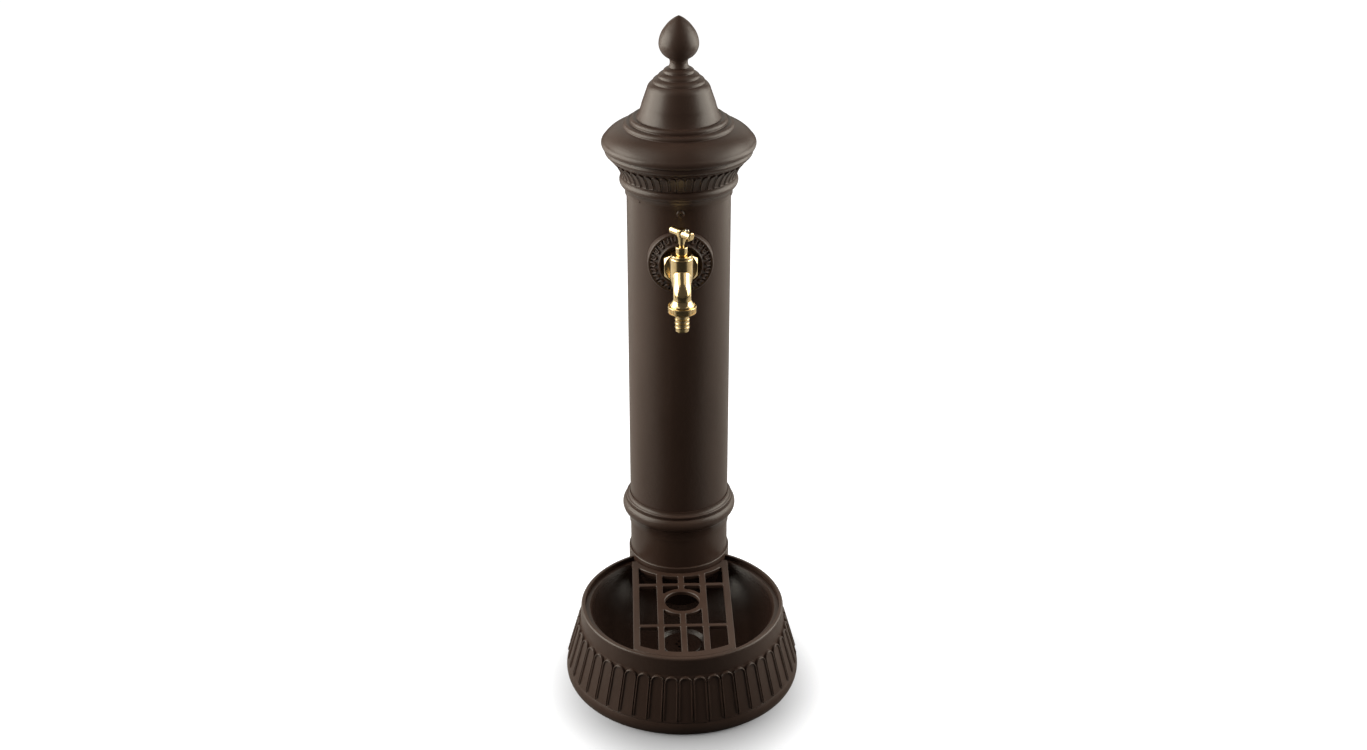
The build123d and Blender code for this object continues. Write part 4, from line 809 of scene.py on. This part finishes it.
class FOUNTAIN_OT_rosette_tongues(bpy.types.Operator):
    """Raise a rimmed tongue over each tongue of the rosette behind the tap"""

    bl_idname = "fountain.rosette_tongues"
    bl_label = "Rosette tongues"

    def execute(self, context):
        casting = settings("fountain_casting")
        # Flat heights are minus the radius, so that the round ends point to the middle
        foot, shoulder, cut = -32.9 * MM, -28.85 * MM, -29.5 * MM
        foot_half, arch_half = 3.2 * MM, 2.6 * MM
        relief, hollow, core = 2.3 * MM, 1.15 * MM, 1.0 * MM
        outline = arch(foot, shoulder, foot_half, arch_half, 8)
        piece = flat_tongue(outline, casting.rosette_rim, relief, hollow, [cut], core)
        # The rosette's hollow face, a cone that falls inwards from its outer edge
        outer, edge_y = 31.8 * MM, -61.3 * MM
        width, drop = 7.2 * MM, 5.1 * MM
        slope = drop / width
        length = hypot(slope, 1.0)
        for vertex in piece.data.vertices:
            x, y, z = vertex.co
            face = edge_y - (outer + y) * slope
            radius = -y + z * slope / length
            angle = x / -y
            vertex.co = (radius * sin(angle), face - z / length, TAP_Z + radius * cos(angle))

        def turn(point, angle):
            x, z = point.x, point.z - TAP_Z
            return Vector(
                (x * cos(angle) - z * sin(angle), point.y, x * sin(angle) + z * cos(angle) + TAP_Z)
            )

        piece = copy_round(piece, casting.rosette_count, turn)
        finish_piece(piece, "rosette_tongues", "brown_paint", angle=50)
        return {"FINISHED"}


class FOUNTAIN_OT_roof(bpy.types.Operator):
    """Turn the roof with soft beads and rings, as a casting has them"""

    bl_idname = "fountain.roof"
    bl_label = "Roof"

    def execute(self, context):
        # Radius and height in millimetres, from the seat outwards, up the roof and back inside
        outer = [(81.8, 602.0), (84.0, 603.1)]
        outer += arc_points(outer[-1], (85.1, 606.5), (82.9, 611.0), 6)
        outer += arc_points(outer[-1], (74.15, 619.7), (62.0, 624.8), 8)
        outer += [(60.4, 625.2)]
        outer += arc_points(outer[-1], (59.3, 629.2), (54.7, 629.9), 5)
        outer += [(53.7, 629.8), (53.2, 630.4)]
        outer += arc_points(outer[-1], (52.1, 634.4), (47.5, 635.0), 5)
        outer += [(46.6, 635.0)]
        outer += arc_points(outer[-1], (42.5, 643.3), (40.4, 650.5), 6)
        outer += [(34.9, 666.4)]
        outer += arc_points(outer[-1], (32.9, 670.9), (29.6, 673.8), 5)
        # Soft rings up to the neck, each from its groove over its crest
        rings, wave = 3, ((0.1, -0.5), (0.35, 0.9), (0.65, 0.9), (1.0, 0.1))
        start, end = Vector(outer[-1]), Vector((12.4, 690.0))
        away = Vector((end.y - start.y, start.x - end.x)).normalized()
        for ring in range(rings):
            for share, rise in wave:
                along = start.lerp(end, (ring + share) / rings)
                outer.append(tuple(along + away * rise))
        outer[-1] = tuple(end)
        inner = [(5.1, 690.0), (5.1, 682.0), (22.0, 668.8), (28.0, 662.8), (38.2, 635.8)]
        inner += [(56.4, 620.8), (65.9, 606.0), (65.9, 598.0), (69.9, 598.0), (69.9, 602.0)]
        piece = turned(outer + inner, len(outer) - 1, 0.7 * MM, 128)
        finish_piece(piece, "turned_roof", "brown_paint", angle=45, replaced=["roof"])
        return {"FINISHED"}


class FOUNTAIN_OT_finial(bpy.types.Operator):
    """Turn the acorn finial in one smooth curve"""

    bl_idname = "fountain.finial"
    bl_label = "Finial"

    def execute(self, context):
        # Radius and height in millimetres, from the foot to the tip, then down the rod's bore
        outer = [(11.2, 690.0), (11.2, 690.8)]
        outer += arc_points(outer[-1], (9.8, 695.1), (11.1, 700.2), 6)
        outer += arc_points(outer[-1], (19.2, 707.0), (21.8, 717.3), 10)
        outer += arc_points(outer[-1], (20.0, 725.4), (15.3, 733.7), 8)
        outer += arc_points(outer[-1], (8.0, 741.6), (0.0, 746.6), 7)
        inner = [(0.0, 713.0), (5.05, 713.0), (5.05, 690.0)]
        piece = turned(outer + inner, 2, 0.3 * MM, 64)
        finish_piece(piece, "turned_finial", "brown_paint", angle=60, replaced=["finial"])
        return {"FINISHED"}


class FOUNTAIN_OT_hose_nut(bpy.types.Operator):
    """Shape the ridged nut that holds the hose tail"""

    bl_idname = "fountain.hose_nut"
    bl_label = "Hose nut"

    def execute(self, context):
        tap = settings("fountain_tap")
        foot, top, ledge = 456.0 * MM, 463.6 * MM, 458.0 * MM
        radius, bore, hole = 15.5 * MM, 13.25 * MM, 8.5 * MM
        corner, band, margin = 0.8 * MM, 1.1 * MM, 0.12 * MM
        low, high = foot + band, top - band
        sides = 2 * tap.ridges
        nut = cylinder(sides, radius, top - foot, (0, SPOUT_Y, (top + foot) / 2))
        for height in (foot, top):
            select_edges(nut, lambda place: abs(place.z - height) < NEAR)
            bpy.ops.mesh.bevel(offset=corner, segments=3)
            bpy.ops.object.mode_set(mode="OBJECT")
        bpy.ops.object.mode_set(mode="EDIT")
        for height in (low, high):
            bpy.ops.mesh.select_all(action="SELECT")
            bpy.ops.mesh.bisect(plane_co=(0, 0, height), plane_no=(0, 0, 1))
        bpy.ops.object.mode_set(mode="OBJECT")

        def in_groove(face):
            x, y = face.center.x, face.center.y - SPOUT_Y
            side = int(atan2(y, x) % (2 * pi) / (2 * pi) * sides)
            return abs(face.normal.z) < 0.1 and low < face.center.z < high and side % 2 == 0

        select_faces(nut, in_groove)
        bpy.ops.mesh.inset(use_individual=True, thickness=margin, depth=-tap.ridge_depth)
        select_faces(nut, lambda face: face.normal.z > 0.9 and face.center.z > top - NEAR)
        bpy.ops.mesh.inset(thickness=radius - corner - bore, depth=0)
        bpy.ops.mesh.extrude_region_move(TRANSFORM_OT_translate={"value": (0, 0, ledge - top)})
        bpy.ops.mesh.inset(thickness=bore - hole, depth=0)
        bpy.ops.mesh.delete(type="FACE")
        bpy.ops.object.mode_set(mode="OBJECT")
        select_faces(nut, lambda face: face.normal.z < -0.9 and face.center.z < foot + NEAR)
        bpy.ops.mesh.inset(thickness=radius - corner - hole, depth=0)
        bpy.ops.mesh.delete(type="FACE")
        bpy.ops.object.mode_set(mode="OBJECT")

        select_edges(nut, lambda place: hypot(place.x, place.y - SPOUT_Y) < hole + 4 * NEAR)
        bpy.ops.mesh.bridge_edge_loops()
        finish_piece(nut, "ridged_hose_nut", "polished_brass", angle=28, replaced=["hose_nut"])
        return {"FINISHED"}


class FOUNTAIN_OT_tap_casting(bpy.types.Operator):
    """Blend the corners of the tap's body, as cast brass has them"""

    bl_idname = "fountain.tap_casting"
    bl_label = "Tap casting"

    def execute(self, context):
        tap = settings("fountain_tap")
        piece = softened("tap_body", tap.voxel, rounds=5)
        finish_piece(piece, "tap_casting", "polished_brass", angle=50, replaced=["tap_body"])
        return {"FINISHED"}


class FOUNTAIN_OT_nuts(bpy.types.Operator):
    """Blend the corners of the wall nut and the gland nut"""

    bl_idname = "fountain.nuts"
    bl_label = "Nuts"

    def execute(self, context):
        tap = settings("fountain_tap")
        wall = softened("tap_wall_nut", tap.voxel, rounds=8)
        finish_piece(wall, "wall_nut", "polished_brass", 40, replaced=["tap_wall_nut"])
        gland = softened("gland_nut", tap.voxel * FINE, rounds=4)
        finish_piece(gland, "turned_gland_nut", "polished_brass", 40, replaced=["gland_nut"])
        return {"FINISHED"}


class FOUNTAIN_OT_handle(bpy.types.Operator):
    """Blend the bar, the hub and the boss of the T handle"""

    bl_idname = "fountain.handle"
    bl_label = "T handle"

    def execute(self, context):
        tap = settings("fountain_tap")
        piece = softened("tap_handle", tap.voxel * FINE, rounds=6)
        finish_piece(piece, "cast_handle", "polished_brass", 50, "spindle", ["tap_handle"])
        return {"FINISHED"}


class FOUNTAIN_OT_handle_screw(bpy.types.Operator):
    """Shape the slotted screw in the handle"""

    bl_idname = "fountain.handle_screw"
    bl_label = "Handle screw"

    def execute(self, context):
        radius, head, shank = 2.0 * MM, 1.7 * MM, 1.2 * MM
        depth, dome = 7.0 * MM, 1.1 * MM
        slot_width, slot_depth = 0.55 * MM, 1.2 * MM
        boss_top = Vector((5.55 * MM, -103.17 * MM, 542.4 * MM))
        screw = screw_blank(radius, head, shank, depth, dome)
        cut_slots(screw, [(3 * radius, slot_width, slot_depth, (0, 0, head))])
        screw.data.transform(Matrix.Translation(boss_top) @ Matrix.Rotation(radians(-20), 4, "Z"))
        finish_piece(screw, "slotted_screw", "zinc_steel", 30, "spindle", ["handle_screw"])
        return {"FINISHED"}


class FOUNTAIN_OT_column_screws(bpy.types.Operator):
    """Shape the cross-recessed screws that hold the capital"""

    bl_idname = "fountain.column_screws"
    bl_label = "Column screws"

    def execute(self, context):
        seat, height = 58.1 * MM, 544.0 * MM
        radius, head, shank = 4.3 * MM, 2.2 * MM, 2.0 * MM
        depth, dome = 7.0 * MM, 1.4 * MM
        long, thin, deep = 4.8 * MM, 0.9 * MM, 1.8 * MM
        middle = (0, 0, head)
        screw = screw_blank(radius, head, shank, depth, dome)
        cut_slots(screw, [(long, thin, deep, middle), (thin, long, deep, middle)])
        # The first screw lies above the tap, with its cross turned
        screw.data.transform(
            Matrix.Rotation(radians(-90), 4, "Z")
            @ Matrix.Translation((seat, 0, height))
            @ Matrix.Rotation(radians(90), 4, "Y")
            @ Matrix.Rotation(radians(30), 4, "Z")
        )
        screws = copy_round(screw, 3, turn_upright(0.0))
        finish_piece(screws, "cross_screws", "brown_paint", 30, replaced=["column_top_screws"])
        return {"FINISHED"}


class FOUNTAIN_OT_stage(bpy.types.Operator):
    """Set the pale floor, the soft lamps and the camera"""

    bl_idname = "fountain.stage"
    bl_label = "Stage"

    def execute(self, context):
        studio = settings("fountain_studio")
        scene = context.scene
        self.floor(studio)
        self.backdrop(scene, studio)
        high = studio.high_power
        # Name, place, power, width and height; the right high panel is the dimmer one
        lamps = (
            ("left_softbox", (-1.25, -0.05, 0.85), studio.left_power, 1.4, 1.2),
            ("right_softbox", (1.25, 0.05, 0.85), studio.right_power, 1.2, 1.2),
            ("left_rear_strip", (-1.1, 0.75, 0.45), studio.rear_power, 0.9, 0.9),
            ("right_rear_strip", (1.1, 0.75, 0.45), studio.rear_power, 0.9, 0.9),
            ("left_high_panel", (-0.85, -0.10, 1.45), high, 1.0, 1.0),
            ("right_high_panel", (0.85, 0.00, 1.45), high * 0.6, 1.0, 1.0),
            ("rear_panel", (0.0, 1.9, 1.4), studio.back_power, 2.6, 1.4),
        )
        for lamp in lamps:
            self.softbox(*lamp)
        bpy.ops.object.camera_add(location=studio.camera_place)
        camera = context.object
        camera.name = "photo_camera"
        camera.data.sensor_width = 36.0
        camera.data.lens = studio.lens
        camera.data.clip_end = 60.0
        view = Euler((pi / 2 - studio.camera_pitch, 0, -studio.camera_turn)).to_matrix()
        camera.rotation_euler = (view @ Matrix.Rotation(studio.camera_roll, 3, "Z")).to_euler()
        scene.camera = camera
        scene.view_settings.view_transform = "Standard"
        return {"FINISHED"}

    def softbox(self, name, place, power, width, height):
        """A soft lamp that looks at the middle of the column."""
        target = Vector((0, -0.06, 0.36))
        clear_selection()
        bpy.ops.object.light_add(type="AREA", location=place)
        light = bpy.context.object
        light.name = name
        light.data.shape = "RECTANGLE"
        light.data.size = width
        light.data.size_y = height
        light.data.energy = power
        light.data.color = LAMP_TONE
        light.visible_camera = False
        aim = target - Vector(place)
        light.rotation_euler = aim.to_track_quat("-Z", "Y").to_euler()

    def floor(self, studio):
        """A white floor that keeps the object's real shadow and adds a painted shadow round the
        basin.

        In reflections it has a painted shade before the basin, which the camera doesn't see.
        """
        clear_selection()
        bpy.ops.mesh.primitive_plane_add(size=16.0, location=(0, 2.0, -0.2 * MM))
        floor = bpy.context.object
        bpy.ops.object.transform_apply(location=True, rotation=True, scale=True)
        floor.name = "studio_floor"
        material, tree, shader = new_material("studio_floor")
        tree.nodes.remove(shader)
        place = add_node(tree, "ShaderNodeTexCoord").outputs["Object"]
        rays = add_node(tree, "ShaderNodeLightPath")
        choose = add_node(tree, "ShaderNodeMixShader")
        link = tree.links.new
        link(rays.outputs["Is Camera Ray"], choose.inputs[0])
        link(self.reflected_floor(tree, place, studio), choose.inputs[1])
        link(self.seen_floor(tree, place, studio), choose.inputs[2])
        link(choose.outputs["Shader"], tree.nodes["Material Output"].inputs["Surface"])
        floor.data.materials.append(material)

    def seen_floor(self, tree, place, studio):
        """What the camera sees: lit paper, lifted to white away from the basin, so that a painted
        shadow darkens it near the basin.
        """
        paper = add_node(tree, "ShaderNodeBsdfDiffuse", Color=(0.33, 0.345, 0.39, 1))
        # The painted shadow is narrower to the sides than to the front
        narrow = add_node(tree, "ShaderNodeVectorMath", operation="MULTIPLY")
        narrow.inputs[1].default_value = (1.2, 1.0, 1.0)
        reach = add_node(tree, "ShaderNodeVectorMath", operation="DISTANCE")
        reach.inputs[1].default_value = (0, BASIN_Y - 35.0 * MM, 0)
        # Painted shadow: the glow fades out towards the basin's foot
        painted_shadow_to, white_from = 85.0 * MM, 245.0 * MM
        lift = spread(tree, reach.outputs["Value"], painted_shadow_to, white_from, studio.floor_lift, 1.0)
        lift.node.interpolation_type = "SMOOTHSTEP"
        glow = add_node(tree, "ShaderNodeEmission")
        seen = add_node(tree, "ShaderNodeAddShader")
        link = tree.links.new
        link(place, narrow.inputs[0])
        link(narrow.outputs["Vector"], reach.inputs[0])
        link(lift, glow.inputs["Strength"])
        link(paper.outputs["BSDF"], seen.inputs[0])
        link(glow.outputs["Emission"], seen.inputs[1])
        return seen.outputs["Shader"]

    def reflected_floor(self, tree, place, studio):
        """What other rays meet: pale behind and beside the fountain, and a painted shade before
        it.
        """
        split = add_node(tree, "ShaderNodeSeparateXYZ")
        tree.links.new(place, split.inputs["Vector"])
        beside = maths(tree, "ABSOLUTE", split.outputs["X"])
        behind = maths(tree, "MULTIPLY_ADD", beside, 0.7, split.outputs["Y"])
        # Painted shade in reflections: the floor turns grey before the basin
        front_shade_to, pale_from, pale = -0.35, 0.12, 0.40
        tone = spread(tree, behind, front_shade_to, pale_from, studio.front_shade, pale)
        tone.node.interpolation_type = "SMOOTHSTEP"
        grey = add_node(tree, "ShaderNodeBsdfDiffuse")
        tree.links.new(tone, grey.inputs["Color"])
        return grey.outputs["BSDF"]

    def backdrop(self, scene, studio):
        """White behind the fountain, and a dim room for its reflections."""
        world = scene.world or bpy.data.worlds.new("studio")
        scene.world = world
        world.use_nodes = True
        tree = world.node_tree
        tree.nodes.clear()
        link = tree.links.new
        rays = add_node(tree, "ShaderNodeLightPath")
        warm, plain = (1.0, 0.9, 0.8, 1.0), (1.0, 1.0, 1.0, 1.0)
        room = add_node(tree, "ShaderNodeBackground", Color=warm, Strength=studio.room)
        white = add_node(tree, "ShaderNodeBackground", Color=plain, Strength=1.0)
        choose = add_node(tree, "ShaderNodeMixShader")
        output = add_node(tree, "ShaderNodeOutputWorld")
        link(rays.outputs["Is Camera Ray"], choose.inputs[0])
        link(room.outputs[0], choose.inputs[1])
        link(white.outputs[0], choose.inputs[2])
        link(choose.outputs[0], output.inputs["Surface"])


class FOUNTAIN_PT_panel(bpy.types.Panel):
    """Lists the steps that build the fountain's looks"""

    bl_idname = "FOUNTAIN_PT_panel"
    bl_label = "Garden Water Fountain"
    bl_space_type = "VIEW_3D"
    bl_region_type = "UI"
    bl_category = "Fountain"

    def draw(self, context):
        layout = self.layout
        for name, group in SETTINGS.items():
            box = layout.box()
            values = getattr(context.scene, name)
            for key in group.__annotations__:
                box.prop(values, key)
        for step in STEPS:
            layout.operator(step.bl_idname)


SETTINGS = {
    "fountain_casting": FountainCasting,
    "fountain_tap": FountainTap,
    "fountain_colours": FountainColours,
    "fountain_studio": FountainStudio,
}

STEPS = (
    FOUNTAIN_OT_finishes,
    FOUNTAIN_OT_skirt_flutes,
    FOUNTAIN_OT_frieze_tongues,
    FOUNTAIN_OT_rosette_tongues,
    FOUNTAIN_OT_roof,
    FOUNTAIN_OT_finial,
    FOUNTAIN_OT_hose_nut,
    FOUNTAIN_OT_tap_casting,
    FOUNTAIN_OT_nuts,
    FOUNTAIN_OT_handle,
    FOUNTAIN_OT_handle_screw,
    FOUNTAIN_OT_column_screws,
    FOUNTAIN_OT_stage,
)


def register():
    for group in SETTINGS.values():
        bpy.utils.register_class(group)
    for name, group in SETTINGS.items():
        setattr(bpy.types.Scene, name, bpy.props.PointerProperty(type=group))
    for step in STEPS:
        bpy.utils.register_class(step)
    bpy.utils.register_class(FOUNTAIN_PT_panel)


def unregister():
    bpy.utils.unregister_class(FOUNTAIN_PT_panel)
    for step in reversed(STEPS):
        bpy.utils.unregister_class(step)
    for name in SETTINGS:
        delattr(bpy.types.Scene, name)
    for group in SETTINGS.values():
        bpy.utils.unregister_class(group)


def main():
    register()
    for step in STEPS:
        family, name = step.bl_idname.split(".")
        getattr(getattr(bpy.ops, family), name)()


if __name__ == "__main__":
    main()
